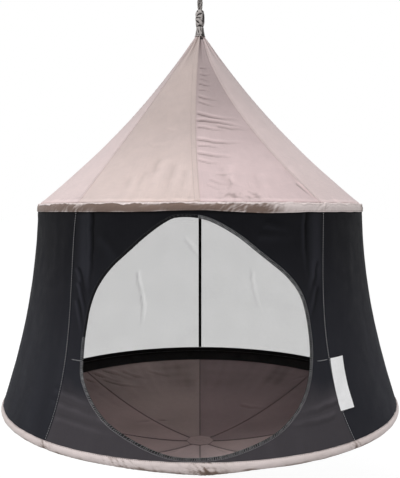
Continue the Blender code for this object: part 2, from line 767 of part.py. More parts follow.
def build_hoop(label, hoop_radius, z, sections, slot_angle, pivot):
    """A hoop of tube sections with a spigot in each joint, in its cloth sleeve."""
    per_section = 360.0 / sections
    play = math.degrees(GAP / 2 / hoop_radius)
    bore = TUBE_RADIUS - TUBE_WALL
    tube = (circle_loop(TUBE_RADIUS), circle_loop(bore))
    rod = (circle_loop(bore - GAP),)
    reach = math.degrees(SPIGOT_LENGTH / 2 / hoop_radius)
    for i in range(sections):
        start = per_section * (i + 0.5)
        name = f"{label}_hoop_tube_{i + 1}"
        data = swept_ring(name, hoop_radius, z, tube, start + play, start + per_section - play)
        add_piece(name, data, "coated_steel", pivot)
        name = f"{label}_hoop_spigot_{i + 1}"
        data = swept_ring(name, hoop_radius, z, rod, start - reach, start + reach)
        add_piece(name, data, "steel", pivot)
    sleeve = (circle_loop(SLEEVE_RADIUS), circle_loop(SLEEVE_BORE))
    slot = math.degrees(SLEEVE_SLOT_LENGTH / 2 / hoop_radius)
    name = f"{label}_hoop_sleeve"
    data = swept_ring(name, hoop_radius, z, sleeve, slot_angle + slot, slot_angle + 360.0 - slot)
    add_piece(name, data, "roof_cloth", pivot)


def floor_height(radius, edge):
    """The floor's height: lowest in the middle, and steeper towards its edge."""
    return edge[1] - FLOOR_SAG * (1 - (radius / edge[0]) ** FLOOR_SHAPE)


def floor_facet_height(radius, edge):
    """The height of the floor's flat facets where it is cut into rows."""
    row_length = (edge[0] - FLOOR_EYE_RADIUS) / FLOOR_ROWS
    row = math.floor((radius - FLOOR_EYE_RADIUS) / row_length)
    inner = FLOOR_EYE_RADIUS + row * row_length
    share = (radius - inner) / row_length
    low, high = floor_height(inner, edge), floor_height(inner + row_length, edge)
    return low + (high - low) * share


def build_floor():
    """The dark band inside the lower hoop, eight floor panels and the patch at their meeting.

    The band stands against the sleeve, and below it slants inwards to the floor's edge.
    """
    face = LOWER_HOOP_RADIUS - SLEEVE_RADIUS * math.cos(math.pi / TUBE_SIDES) - GAP
    foot = face - BAND_REACH
    high, bend, low = BAND_TOP_RISE, -BAND_BEND_DROP, -BAND_DROP
    slant = math.atan2(BAND_REACH, bend - low)
    inner_bend = bend + CLOTH * math.tan(slant / 2)
    inner_foot = foot - CLOTH / math.cos(slant)
    section = [
        (face, high), (face, bend), (foot, low), (inner_foot, low), (face - CLOTH, inner_bend), (face - CLOTH, high),
    ]
    loop = [(radius - LOWER_HOOP_RADIUS, up) for radius, up in section]
    slot = math.degrees(GAP / LOWER_HOOP_RADIUS)
    data = swept_ring("floor_edge_band", LOWER_HOOP_RADIUS, LOWER_HOOP_Z, (loop,), 180.0 + slot, 540.0 - slot)
    add_piece("floor_edge_band", data, "wall_cloth", LOWER)

    edge = (foot - CLOTH / 2, LOWER_HOOP_Z - BAND_DROP - GAP - CLOTH)
    for index, sector in enumerate(SECTORS):
        left, right = SEAMS[index].angle, SEAMS[index + 1].angle

        def place(across, along, left=left, right=right):
            radius = edge[0] + (FLOOR_EYE_RADIUS - edge[0]) * along
            margin = math.degrees(SEAM_GAP / 2 / radius)
            angle = left + margin + (right - left - 2 * margin) * across
            return round_place(radius, angle, floor_height(radius, edge))

        name = "floor_panel_" + sector
        data = cloth_mesh(name, FLOOR_ROWS, FLOOR_COLUMNS, place, CLOTH, 1)
        add_piece(name, data, "floor_cloth", LOWER)

    patch_z = floor_facet_height(PATCH_RADIUS, edge) + CLOTH + GAP
    bm = bmesh.new()
    middle = Matrix.Translation((0, 0, patch_z + CLOTH / 2))
    sides = len(SECTORS)
    radius = PATCH_RADIUS
    bmesh.ops.create_cone(
        bm, cap_ends=True, segments=sides, radius1=radius, radius2=radius, depth=CLOTH, matrix=middle
    )
    add_piece("floor_centre_patch", mesh_from(bm, "floor_centre_patch"), "floor_cloth", LOWER, smooth=False)


clear_scene()
TENT = make_collection("hanging_cocoon_tent")
CUTTERS = make_collection("cutters")
WORLD_PLACE = {}
HOOK = make_pivot("hanging_point", Vector((0, 0, 0)), None)
GATE = make_pivot("gate_axis", Vector((HOOK_LEG_X, 0, GATE_PIN_Z)), HOOK)
CANOPY = make_pivot("swing_axis", Vector((0, 0, HOOK_BAR_Z)), HOOK)
UPPER = make_pivot("roof_fold_guide", Vector((0, 0, UPPER_HOOP_Z)), CANOPY)
LOWER = make_pivot("wall_fold_guide", Vector((0, 0, LOWER_HOOP_Z)), UPPER)
bpy.context.view_layer.update()

build_hook()
build_hanger()
build_roof()
build_hoop("upper", UPPER_HOOP_RADIUS, UPPER_HOOP_Z, UPPER_SECTIONS, UPPER_SLEEVE_SLOT_ANGLE, UPPER)
build_wall()
build_hoop("lower", LOWER_HOOP_RADIUS, LOWER_HOOP_Z, LOWER_SECTIONS, LOWER_SLEEVE_SLOT_ANGLE, LOWER)
build_floor()
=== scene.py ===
"""The looks of a hanging cocoon tent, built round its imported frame.

A place round the tent is given by its angle from the doorway, in degrees, which grows towards the
right as the doorway is seen from outside. Lengths are in metres and colours are linear.
"""

import logging
from bisect import bisect_left
from collections.abc import Callable
from dataclasses import dataclass, field, replace
from enum import Enum
from math import asin, atan2, cos, degrees, exp, hypot, pi, radians, sin

import bmesh
import bpy
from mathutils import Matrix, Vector, noise


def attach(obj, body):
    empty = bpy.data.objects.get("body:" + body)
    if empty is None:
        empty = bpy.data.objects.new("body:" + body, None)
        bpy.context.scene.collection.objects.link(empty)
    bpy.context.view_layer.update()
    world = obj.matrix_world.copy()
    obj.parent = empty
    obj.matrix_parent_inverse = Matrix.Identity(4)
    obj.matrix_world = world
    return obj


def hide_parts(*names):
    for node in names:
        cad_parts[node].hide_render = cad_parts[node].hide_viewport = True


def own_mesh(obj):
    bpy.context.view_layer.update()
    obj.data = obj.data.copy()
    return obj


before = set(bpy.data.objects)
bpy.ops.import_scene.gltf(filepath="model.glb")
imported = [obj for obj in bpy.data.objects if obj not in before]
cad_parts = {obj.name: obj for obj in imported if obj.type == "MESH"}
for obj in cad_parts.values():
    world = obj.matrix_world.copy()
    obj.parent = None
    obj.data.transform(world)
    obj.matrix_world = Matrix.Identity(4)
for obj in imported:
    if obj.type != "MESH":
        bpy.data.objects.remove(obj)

LOG = logging.getLogger("cocoon_tent")
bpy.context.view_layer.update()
CLOTH_MAP = "cloth"
# Each cloth point keeps a hollow value: above 0 it paints shade into its colour, below 0 it paints highlight.
PAINTED_SHADE = "hollow"
INNER = "inner"
SHARP_EDGE = radians(62)

Pair = tuple[float, float]
Colour = tuple[float, float, float]
Piece = bpy.types.Object
Finish = bpy.types.Material


# Small sums

def eased(value: float) -> float:
    """Eases from 0 to 1 and stays there."""
    value = min(max(value, 0.0), 1.0)
    return value * value * (3 - 2 * value)


def bow(share: float) -> float:
    """Rises from 0 to 1 halfway and falls back."""
    return 4 * share * (1 - share)


def bell(value: float, width: float) -> float:
    """A smooth hump of height 1 round 0."""
    return exp(-((value / width) ** 2))


def from_front(angle: float) -> float:
    """The same angle, between -180 and 180 degrees from the doorway."""
    return (angle + 180.0) % 360.0 - 180.0


def around(radius: float, angle: float, z: float) -> Vector:
    """The place at a radius from the tent's axis, an angle from the doorway and a height."""
    turn = radians(angle)
    return Vector((radius * sin(turn), -radius * cos(turn), z))


def ripple(radius: float, angle: float, along: float, across_pitch: float, along_pitch: float, seed: float) -> float:
    """Smooth noise on a hoop's surface.

    Args:
        radius: the hoop's radius.
        angle: the place round it.
        along: the place along its cloth.
        across_pitch: how far apart folds lie round it.
        along_pitch: how far apart they lie along the cloth.
        seed: tells one surface from another.

    Returns:
        A value between about -1 and 1.
    """
    turn = radians(angle)
    reach = radius / across_pitch
    return noise.noise(Vector((reach * sin(turn), reach * cos(turn) + seed, along / along_pitch + seed)))


# Meshes

@dataclass
class Knot:
    """One point of a cloth grid: its face, its back, its place on the flat cloth and its hollow, which paints shade
    into its colour above 0 and highlight below 0.
    """

    face: Vector
    back: Vector
    across: float
    along: float
    hollow: float = 0.0


Grid = list[list[Knot]]


class Body(Enum):
    """The rigid bodies of the tent that a piece can move with."""

    CANOPY = "canopy"
    UPPER = "upper_hoop"
    LOWER = "lower_hoop"


class Slot(Enum):
    """The record's material slots."""

    ROPE = "rope"
    ROOF = "roof_cloth"
    WALL = "wall_cloth"
    NET = "window_net"
    WEBBING = "webbing"
    LABEL = "label_cloth"
    FLOOR = "floor_cloth"


@dataclass(frozen=True)
class Folding:
    """A joint and the height of a cloth's held end, for limp cloth that rides on a hoop."""

    joint: str
    cloth_foot: float
    room: float = 0.004

    def apply(self, piece: Piece) -> None:
        """Gives a piece its own copy of its mesh.

        Args:
            piece: a finished mesh that rides on the body above the joint.
        """
        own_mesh(piece)


def placed(name: str, data: bpy.types.ID) -> Piece:
    """Adds a new object to the scene."""
    piece = bpy.data.objects.new(name, data)
    bpy.context.scene.collection.objects.link(piece)
    return piece


def smooth_object(name: str, points: list[Vector], faces: list[tuple[int, ...]], finish: Finish,
                  corners: list[list[Pair]] | None = None, hollows: list[float] | None = None) -> Piece:
    """Makes a mesh object with its faces turned outwards, smooth up to its sharp edges.

    Args:
        name: the piece's name.
        points: its vertices.
        faces: tuples of vertex numbers.
        finish: its material.
        corners: on cloth, the place on the flat cloth of each face's corners.
        hollows: on cloth, how hollow each vertex is, which paints its shade above 0 and its highlight below 0.

    Returns:
        The new object.
    """
    data = bpy.data.meshes.new(name)
    data.from_pydata([tuple(point) for point in points], [], faces)
    if corners:
        chart = data.uv_layers.new(name=CLOTH_MAP)
        chart.uv.foreach_set("vector", [value for face in corners for corner in face for value in corner])
        data.attributes.new(PAINTED_SHADE, "FLOAT", "POINT").data.foreach_set("value", hollows)
    tidy = bmesh.new()
    tidy.from_mesh(data)
    bmesh.ops.recalc_face_normals(tidy, faces=tidy.faces)
    tidy.to_mesh(data)
    tidy.free()
    data.shade_smooth()
    data.set_sharp_from_angle(angle=SHARP_EDGE)
    data.materials.append(finish)
    return placed(name, data)


def sheet_object(name: str, rows: Grid, finish: Finish, ring: bool = False) -> Piece:
    """Makes a closed thin sheet from a grid of knots.

    Args:
        name: the piece's name.
        rows: rows of knots, all equally long.
        finish: its material.
        ring: whether each row closes on itself; its last knot then repeats the first.

    Returns:
        The new object, with the cloth's own map in metres and its hollows, which set its painted shade and highlight.
    """
    columns = len(rows[0])
    span = columns - 1 if ring else columns
    flat = [knot for row in rows for knot in row[:span]]
    count = len(flat)
    points = [knot.face for knot in flat] + [knot.back for knot in flat]
    faces, corners = [], []

    def add(*marks: tuple[int, int, bool]) -> None:
        """Adds a face from (row, column, whether it is on the back) marks."""
        faces.append(tuple(r * span + c % span + (count if back else 0) for r, c, back in marks))
        corners.append([(rows[r][c].across, rows[r][c].along) for r, c, _ in marks])

    for r in range(len(rows) - 1):
        for c in range(columns - 1):
            add((r, c, False), (r, c + 1, False), (r + 1, c + 1, False), (r + 1, c, False))
            add((r, c, True), (r + 1, c, True), (r + 1, c + 1, True), (r, c + 1, True))
        if not ring:
            end = columns - 1
            add((r, 0, False), (r + 1, 0, False), (r + 1, 0, True), (r, 0, True))
            add((r, end, False), (r, end, True), (r + 1, end, True), (r + 1, end, False))
    last = len(rows) - 1
    for c in range(columns - 1):
        add((0, c, False), (0, c, True), (0, c + 1, True), (0, c + 1, False))
        add((last, c, False), (last, c + 1, False), (last, c + 1, True), (last, c, True))

    piece = smooth_object(name, points, faces, finish, corners, [knot.hollow for knot in flat] * 2)
    inner = piece.data.attributes.new(INNER, "FLOAT", "POINT")
    inner.data.foreach_set("value", [0.0] * count + [1.0] * count)
    return piece


def loop_object(name: str, rows: Grid, finish: Finish) -> Piece:
    """Makes a tube that closes on itself.

    Args:
        name: the piece's name.
        rows: rows of knots round the tube; the last row and each last knot repeat the first.
        finish: its material.

    Returns:
        The new object, with its map and its hollows, which set its painted shade and highlight.
    """
    count, sides = len(rows) - 1, len(rows[0]) - 1
    flat = [knot for row in rows[:-1] for knot in row[:-1]]
    faces, corners = [], []
    for r in range(count):
        for c in range(sides):
            marks = ((r, c), (r, c + 1), (r + 1, c + 1), (r + 1, c))
            faces.append(tuple((a % count) * sides + b % sides for a, b in marks))
            corners.append([(rows[a][b].across, rows[a][b].along) for a, b in marks])
    return smooth_object(name, [knot.face for knot in flat], faces, finish, corners, [knot.hollow for knot in flat])


def hand_over(piece: Piece, body: Body, stands_for: tuple[str, ...] = (),
              folding: Folding | None = None) -> None:
    """Hands a finished piece to the frame.

    Args:
        piece: the finished object.
        body: the body it moves with.
        stands_for: the frame's nodes that it takes the place of.
        folding: if it is limp, what gives it its own copy of its mesh.
    """
    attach(piece, body.value)
    if stands_for:
        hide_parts(*stands_for)
    if folding:
        folding.apply(piece)


@dataclass
class Threads:
    """Short stitches, gathered into one mesh: the thread's radius, how much of a stitch shows and their pitch."""

    radius: float = 0.0006
    length: float = 0.0042
    pitch: float = 0.0058
    sides: int = 5
    points: list[Vector] = field(default_factory=list)
    faces: list[tuple[int, ...]] = field(default_factory=list)

    def stitch(self, start: Vector, end: Vector, up: Vector) -> None:
        """Adds one stitch that dips into the cloth at both ends.

        Args:
            start: its first end, on the cloth.
            end: its other end.
            up: away from the cloth.
        """
        run = (end - start).normalized()
        aside = run.cross(up).normalized()
        up = aside.cross(run)
        first, sides = len(self.points), self.sides
        for share, girth, rise in ((0.0, 0.55, -0.5), (0.2, 1.0, 0.35), (0.8, 1.0, 0.35), (1.0, 0.55, -0.5)):
            middle = start.lerp(end, share) + up * (rise * self.radius)
            for side in range(sides):
                turn = 2 * pi * side / sides
                self.points.append(middle + (aside * cos(turn) + up * sin(turn)) * (girth * self.radius))
        for a in range(first, first + 3 * sides):
            b = a + 1 if (a + 1 - first) % sides else a + 1 - sides
            self.faces.append((a, b, b + sides, a + sides))
        self.faces.append(tuple(range(first + sides - 1, first - 1, -1)))
        self.faces.append(tuple(range(first + 3 * sides, first + 4 * sides)))

    def row(self, line: list[Vector], up: Callable[[Vector], Vector]) -> None:
        """Adds a row of stitches along a line.

        Args:
            line: points along the cloth, a few millimetres apart.
            up: gives the way out of the cloth at a place.
        """
        carried = 0.0
        start = None
        for near, far in zip(line, line[1:]):
            step = (far - near).length
            if step < 1e-7:
                continue
            at = 0.0
            while True:
                wait = (self.pitch - self.length if start is None else self.length) - carried
                if at + wait > step:
                    carried += step - at
                    break
                at += wait
                carried = 0.0
                place = near.lerp(far, at / step)
                if start is None:
                    start = place
                else:
                    self.stitch(start, place, up(place))
                    start = None

    def piece(self, name: str, finish: Finish) -> Piece:
        """Makes the stitches into one object."""
        return smooth_object(name, self.points, self.faces, finish)


# Finishes

class Shading:
    """A node graph, with short calls to add a node and join it to others."""

    def __init__(self, name: str, world: bool = False) -> None:
        """Starts an empty graph.

        Args:
            name: the material's name, or the world's.
            world: whether it is the room's light and not a material.
        """
        self.owner = (bpy.data.worlds if world else bpy.data.materials).new(name)
        self.owner.use_nodes = True
        self.tree = self.owner.node_tree
        self.tree.nodes.clear()

    def add(self, kind: str, inputs: dict | None = None, **settings: object) -> bpy.types.Node:
        """Adds a node.

        Args:
            kind: the node's type name.
            inputs: values for its inputs, or outputs of other nodes to join to them.
            settings: its other properties.

        Returns:
            The new node.
        """
        node = self.tree.nodes.new(kind)
        for name, value in settings.items():
            setattr(node, name, value)
        for name, value in (inputs or {}).items():
            if isinstance(value, bpy.types.NodeSocket):
                self.tree.links.new(value, node.inputs[name])
            else:
                node.inputs[name].default_value = value
        return node

    def math(self, operation: str, first: object, second: object = 0.0, clamp: bool = False) -> object:
        """The result of one sum on two values."""
        return self.add("ShaderNodeMath", {0: first, 1: second}, operation=operation, use_clamp=clamp).outputs[0]

    def times(self, first: object, second: object) -> object:
        """Two values multiplied."""
        return self.math("MULTIPLY", first, second)

    def span(self, value: object, low: float, high: float, to_low: float, to_high: float,
             how: str = "LINEAR") -> object:
        """A value moved from one range to another, and kept inside it."""
        inputs = {"Value": value, "From Min": low, "From Max": high, "To Min": to_low, "To Max": to_high}
        return self.add("ShaderNodeMapRange", inputs, interpolation_type=how).outputs[0]

    def soft_span(self, value: object, *ends: float) -> object:
        """A value eased from one range to another."""
        return self.span(value, *ends, how="SMOOTHSTEP")

    def vary(self, value: object, least: float, most: float) -> object:
        """Noise spread over a range: most of it lies between 0.3 and 0.7."""
        return self.span(value, 0.3, 0.7, least, most)

    def blend(self, share: object, first: object, second: object, how: str = "MIX") -> object:
        """Two colours mixed."""
        colours = [(*c, 1.0) if isinstance(c, tuple) and len(c) == 3 else c for c in (first, second)]
        node = self.add("ShaderNodeMix", {0: share, 6: colours[0], 7: colours[1]}, data_type="RGBA", blend_type=how)
        return node.outputs[2]

    def shade(self, colour: object, by: object) -> object:
        """A colour made lighter or darker by a factor."""
        grey = self.add("ShaderNodeCombineColor", {0: by, 1: by, 2: by}).outputs[0]
        return self.blend(1.0, colour, grey, "MULTIPLY")

    def noise(self, place: object, scale: float, detail: float = 2.0, roughness: float = 0.5) -> object:
        """Noise from 0 to 1, with so many features to the metre."""
        inputs = {"Vector": place, "Scale": scale, "Detail": detail, "Roughness": roughness}
        return self.add("ShaderNodeTexNoise", inputs).outputs[0]

    def stretched(self, place: object, scales: tuple[float, float, float]) -> object:
        """A place scaled along each axis."""
        return self.add("ShaderNodeMapping", {"Vector": place, "Scale": scales}).outputs[0]

    def bump(self, height: object, distance: float, strength: float = 1.0, under: object = None) -> object:
        """A normal raised by a height."""
        inputs = {"Height": height, "Distance": distance, "Strength": strength}
        if under is not None:
            inputs["Normal"] = under
        return self.add("ShaderNodeBump", inputs).outputs[0]

    def place(self) -> object:
        """The place on the piece, in metres."""
        return self.add("ShaderNodeTexCoord").outputs["Object"]

    def chart(self) -> object:
        """The place on the flat cloth, in metres."""
        return self.add("ShaderNodeUVMap", uv_map=CLOTH_MAP).outputs[0]

    def kept(self, name: str) -> object:
        """A value kept at each point of the cloth."""
        return self.add("ShaderNodeAttribute", attribute_name=name, attribute_type="GEOMETRY").outputs["Fac"]

    def weave(self, pitch: float) -> tuple[object, object]:
        """How far along the flat cloth it is, and the rise and fall of its crossing threads, from 0 to 1."""
        apart = self.add("ShaderNodeSeparateXYZ", {0: self.chart()}).outputs
        warp, weft = (self.math("SINE", self.times(apart[axis], 2 * pi / pitch)) for axis in (0, 1))
        return apart[1], self.math("MULTIPLY_ADD", self.times(warp, weft), 0.5)

    def seen(self) -> object:
        """1 where it is seen, straight or in a gloss or through a clear piece, and 0 where it gives light."""
        rays = self.add("ShaderNodeLightPath").outputs
        straight = self.math("MAXIMUM", rays["Is Camera Ray"], rays["Is Glossy Ray"])
        return self.math("MAXIMUM", straight, rays["Is Transmission Ray"])

    def surface(self, **sockets: object) -> bpy.types.Node:
        """The surface's shader, with its sockets by name (underscores stand for spaces)."""
        named = {}
        for name, value in sockets.items():
            colour = isinstance(value, tuple) and len(value) == 3
            named[name.replace("_", " ")] = (*value, 1.0) if colour else value
        return self.add("ShaderNodeBsdfPrincipled", named)

    def mixed(self, share: object, first: bpy.types.Node, second: bpy.types.Node) -> bpy.types.Node:
        """Two shaders mixed."""
        return self.add("ShaderNodeMixShader", {0: share, 1: first.outputs[0], 2: second.outputs[0]})

    def end(self, shader: bpy.types.Node) -> Finish:
        """Joins the last shader to the output and returns the finished material."""
        self.add("ShaderNodeOutputMaterial", {"Surface": shader.outputs[0]})
        return self.owner


@dataclass(frozen=True)
class WovenCloth:
    """A plain woven cloth, with its threads, slubs and soft creases, painted shade in its hollows and painted
    highlight on its crests.
    """

    name: str
    colour: Colour
    second: Colour
    thread_pitch: float = 0.0009
    weave_depth: float = 0.00012
    crumple: float = 0.0011
    roughness: float = 0.78
    sheen: float = 0.2
    # The tone the hollows are multiplied by, as painted shade.
    painted_shade_tone: Colour = (0.62, 0.6, 0.59)
    specular: float = 0.3
    through: float = 0.0
    # How much lighter the crests are painted, as highlight.
    crest_light: float = 1.3
    # A ramp along the cloth that paints light and shade: where it starts and ends, and the tone at each end.
    painted_light_ramp: tuple[float, float, float, float] | None = None
    # A paler colour painted low on the cloth between two places along it: painted glow, as of the lit floor shining
    # through.
    painted_glow: Colour | None = None
    painted_glow_from: float = 0.0
    painted_glow_to: float = 0.0

    def build(self) -> Finish:
        """Makes the material."""
        s = Shading(self.name)
        place, chart = s.place(), s.chart()
        along, weave = s.weave(self.thread_pitch)
        slub = s.noise(s.stretched(chart, (1400.0, 22.0, 1.0)), 1.0)
        slub_across = s.noise(s.stretched(chart, (22.0, 1400.0, 1.0)), 1.0)
        broad = s.noise(place, 2.3, 3.0, 0.55)
        middle = s.noise(place, 21.0, 4.0, 0.6)
        colour = s.blend(s.soft_span(broad, 0.35, 0.65, 0.0, 1.0), self.colour, self.second)
        # Painted glow: past a place along the cloth, the colour turns paler.
        if self.painted_glow:
            drop = s.math("ADD", along, s.vary(s.noise(place, 9.0), -0.02, 0.02))
            colour = s.blend(s.soft_span(drop, self.painted_glow_from, self.painted_glow_to, 0.0, 1.0), colour, self.painted_glow)
        threads = s.math("ADD", s.vary(slub, 0.94, 1.06), s.vary(slub_across, -0.05, 0.05))
        tone = s.times(s.times(threads, s.vary(middle, 0.965, 1.03)), s.span(weave, 0.0, 1.0, 0.93, 1.05))
        # Painted light: the hollow value lightens crests as highlight and darkens hollows, in their tone, as shade;
        # the ramp paints light and shade along the cloth.
        hollow = s.kept(PAINTED_SHADE)
        tone = s.times(tone, s.span(hollow, -1.0, 0.0, self.crest_light, 1.0))
        tone = s.times(tone, s.span(hollow, 1.0, 2.0, 1.0, 0.1))
        if self.painted_light_ramp:
            tone = s.times(tone, s.soft_span(along, *self.painted_light_ramp))
        shadow = s.blend(s.soft_span(hollow, 0.0, 1.0, 0.0, 1.0), (1.0, 1.0, 1.0), self.painted_shade_tone)
        colour = s.blend(1.0, s.shade(colour, tone), shadow, "MULTIPLY")
        rough = s.vary(middle, self.roughness - 0.05, min(self.roughness + 0.08, 1.0))
        crease = s.bump(s.noise(place, 34.0, 4.0, 0.55), self.crumple)
        normal = s.bump(weave, self.weave_depth, 0.7, crease)
        shader = s.surface(Base_Color=colour, Roughness=rough, Normal=normal, Specular_IOR_Level=self.specular,
                           Sheen_Weight=self.sheen, Sheen_Roughness=0.45)
        if not self.through:
            return s.end(shader)
        light = s.add("ShaderNodeBsdfTranslucent", {"Color": colour, "Normal": normal})
        return s.end(s.mixed(s.span(s.kept(INNER), 0.0, 1.0, self.through, 0.9), shader, light))


@dataclass(frozen=True)
class Net:
    """The fine knitted net of the windows, partly see-through."""

    name: str
    colour: Colour
    hole_pitch: float = 0.0016
    least_clear: float = 0.62
    most_clear: float = 0.84

    def build(self) -> Finish:
        """Makes the material."""
        s = Shading(self.name)
        place = s.place()
        _, knit = s.weave(self.hole_pitch)
        drift = s.vary(s.noise(place, 7.0, 3.0), -0.008, 0.008)
        clear = s.math("ADD", s.span(knit, 0.0, 1.0, self.least_clear, self.most_clear), drift)
        # The net is made less clear along the valleys of its folds, so they show darker.
        clear = s.math("SUBTRACT", clear, s.times(s.kept(PAINTED_SHADE), 0.12), clamp=True)
        tone = s.vary(s.noise(place, 60.0, 3.0), 0.85, 1.15)
        shader = s.surface(Base_Color=s.shade(self.colour, tone), Normal=s.bump(knit, 0.0002, 0.6),
                           Roughness=s.vary(s.noise(place, 40.0), 0.6, 0.8), Specular_IOR_Level=0.2)
        return s.end(s.mixed(clear, shader, s.add("ShaderNodeBsdfTransparent")))


@dataclass(frozen=True)
class TwistedCord:
    """Cord of dark and pale yarns, laid up slantwise."""

    name: str
    dark: Colour
    pale: Colour
    lay: float = 0.0075

    def build(self) -> Finish:
        """Makes the material."""
        s = Shading(self.name)
        apart = s.add("ShaderNodeSeparateXYZ", {0: s.chart()}).outputs
        slant = s.math("ADD", apart[0], s.times(apart[1], 1.0 / self.lay))
        strand = s.math("SINE", s.times(slant, 2 * pi))
        yarn = s.math("SINE", s.times(slant, 12 * pi))
        fuzz = s.noise(s.place(), 900.0, 3.0, 0.6)
        colour = s.blend(s.soft_span(strand, -0.3, 0.5, 0.0, 1.0), self.dark, self.pale)
        tone = s.times(s.span(yarn, -1.0, 1.0, 0.78, 1.12), s.vary(fuzz, 0.85, 1.15))
        height = s.math("ADD", s.times(yarn, 0.5), s.times(fuzz, 0.4))
        return s.end(s.surface(Base_Color=s.shade(colour, tone), Roughness=s.vary(fuzz, 0.75, 0.95),
                               Normal=s.bump(height, 0.0003), Specular_IOR_Level=0.25, Sheen_Weight=0.2))


@dataclass(frozen=True)
class PlatedSteel:
    """Zinc-plated or bare steel, with fine draw lines, dull patches and small scratches."""

    name: str
    colour: Colour
    roughness: float = 0.3

    def build(self) -> Finish:
        """Makes the material."""
        s = Shading(self.name)
        lines = s.noise(s.stretched(s.place(), (900.0, 900.0, 40.0)), 1.0)
        cloud = s.noise(s.place(), 70.0, 4.0, 0.6)
        worn = s.span(s.add("ShaderNodeNewGeometry").outputs["Pointiness"], 0.5, 0.58, 0.0, 0.6)
        colour = s.blend(worn, s.shade(self.colour, s.vary(cloud, 0.84, 1.08)), (0.78, 0.78, 0.79))
        rough = s.math("ADD", s.vary(cloud, self.roughness - 0.07, self.roughness + 0.12),
                       s.vary(lines, -0.04, 0.05), clamp=True)
        normal = s.bump(s.math("ADD", lines, s.times(cloud, 0.5)), 0.00003, 0.5)
        return s.end(s.surface(Base_Color=colour, Metallic=1.0, Roughness=rough, Normal=normal))


@dataclass(frozen=True)
class CoatedTube:
    """Powder coat on tube, with its orange peel and rubbed patches."""

    name: str
    colour: Colour

    def build(self) -> Finish:
        """Makes the material."""
        s = Shading(self.name)
        peel = s.noise(s.place(), 420.0, 3.0)
        cloud = s.noise(s.place(), 16.0, 4.0, 0.6)
        return s.end(s.surface(Base_Color=s.shade(self.colour, s.vary(cloud, 0.85, 1.12)),
                               Roughness=s.vary(cloud, 0.42, 0.6), Normal=s.bump(peel, 0.00008, 0.6),
                               Coat_Weight=0.15, Coat_Roughness=0.3))


@dataclass(frozen=True)
class SewingThread:
    """Spun sewing thread."""

    name: str
    colour: Colour

    def build(self) -> Finish:
        """Makes the material."""
        s = Shading(self.name)
        spun = s.noise(s.place(), 700.0)
        tone = s.times(s.vary(spun, 0.8, 1.15), s.vary(s.noise(s.place(), 6.0, 3.0), 0.75, 1.15))
        return s.end(s.surface(Base_Color=s.shade(self.colour, tone), Roughness=s.vary(spun, 0.6, 0.8),
                               Normal=s.bump(spun, 0.0001, 0.6), Sheen_Weight=0.1))


@dataclass(frozen=True)
class StudioFloor:
    """The pale floor, which keeps the tent's shadow."""

    name: str
    colour: Colour = (0.55, 0.55, 0.55)
    own_light: float = 0.6

    def build(self) -> Finish:
        """Makes the material."""
        s = Shading(self.name)
        tone = s.vary(s.noise(s.place(), 3.0, 3.0), 0.985, 1.01)
        shader = s.surface(Base_Color=s.shade(self.colour, tone), Roughness=0.9, Specular_IOR_Level=0.0)
        inputs = {"Color": (1, 1, 1, 1), "Strength": s.times(s.seen(), self.own_light)}
        glow = s.add("ShaderNodeEmission", inputs)
        return s.end(s.add("ShaderNodeAddShader", {0: shader.outputs[0], 1: glow.outputs[0]}))


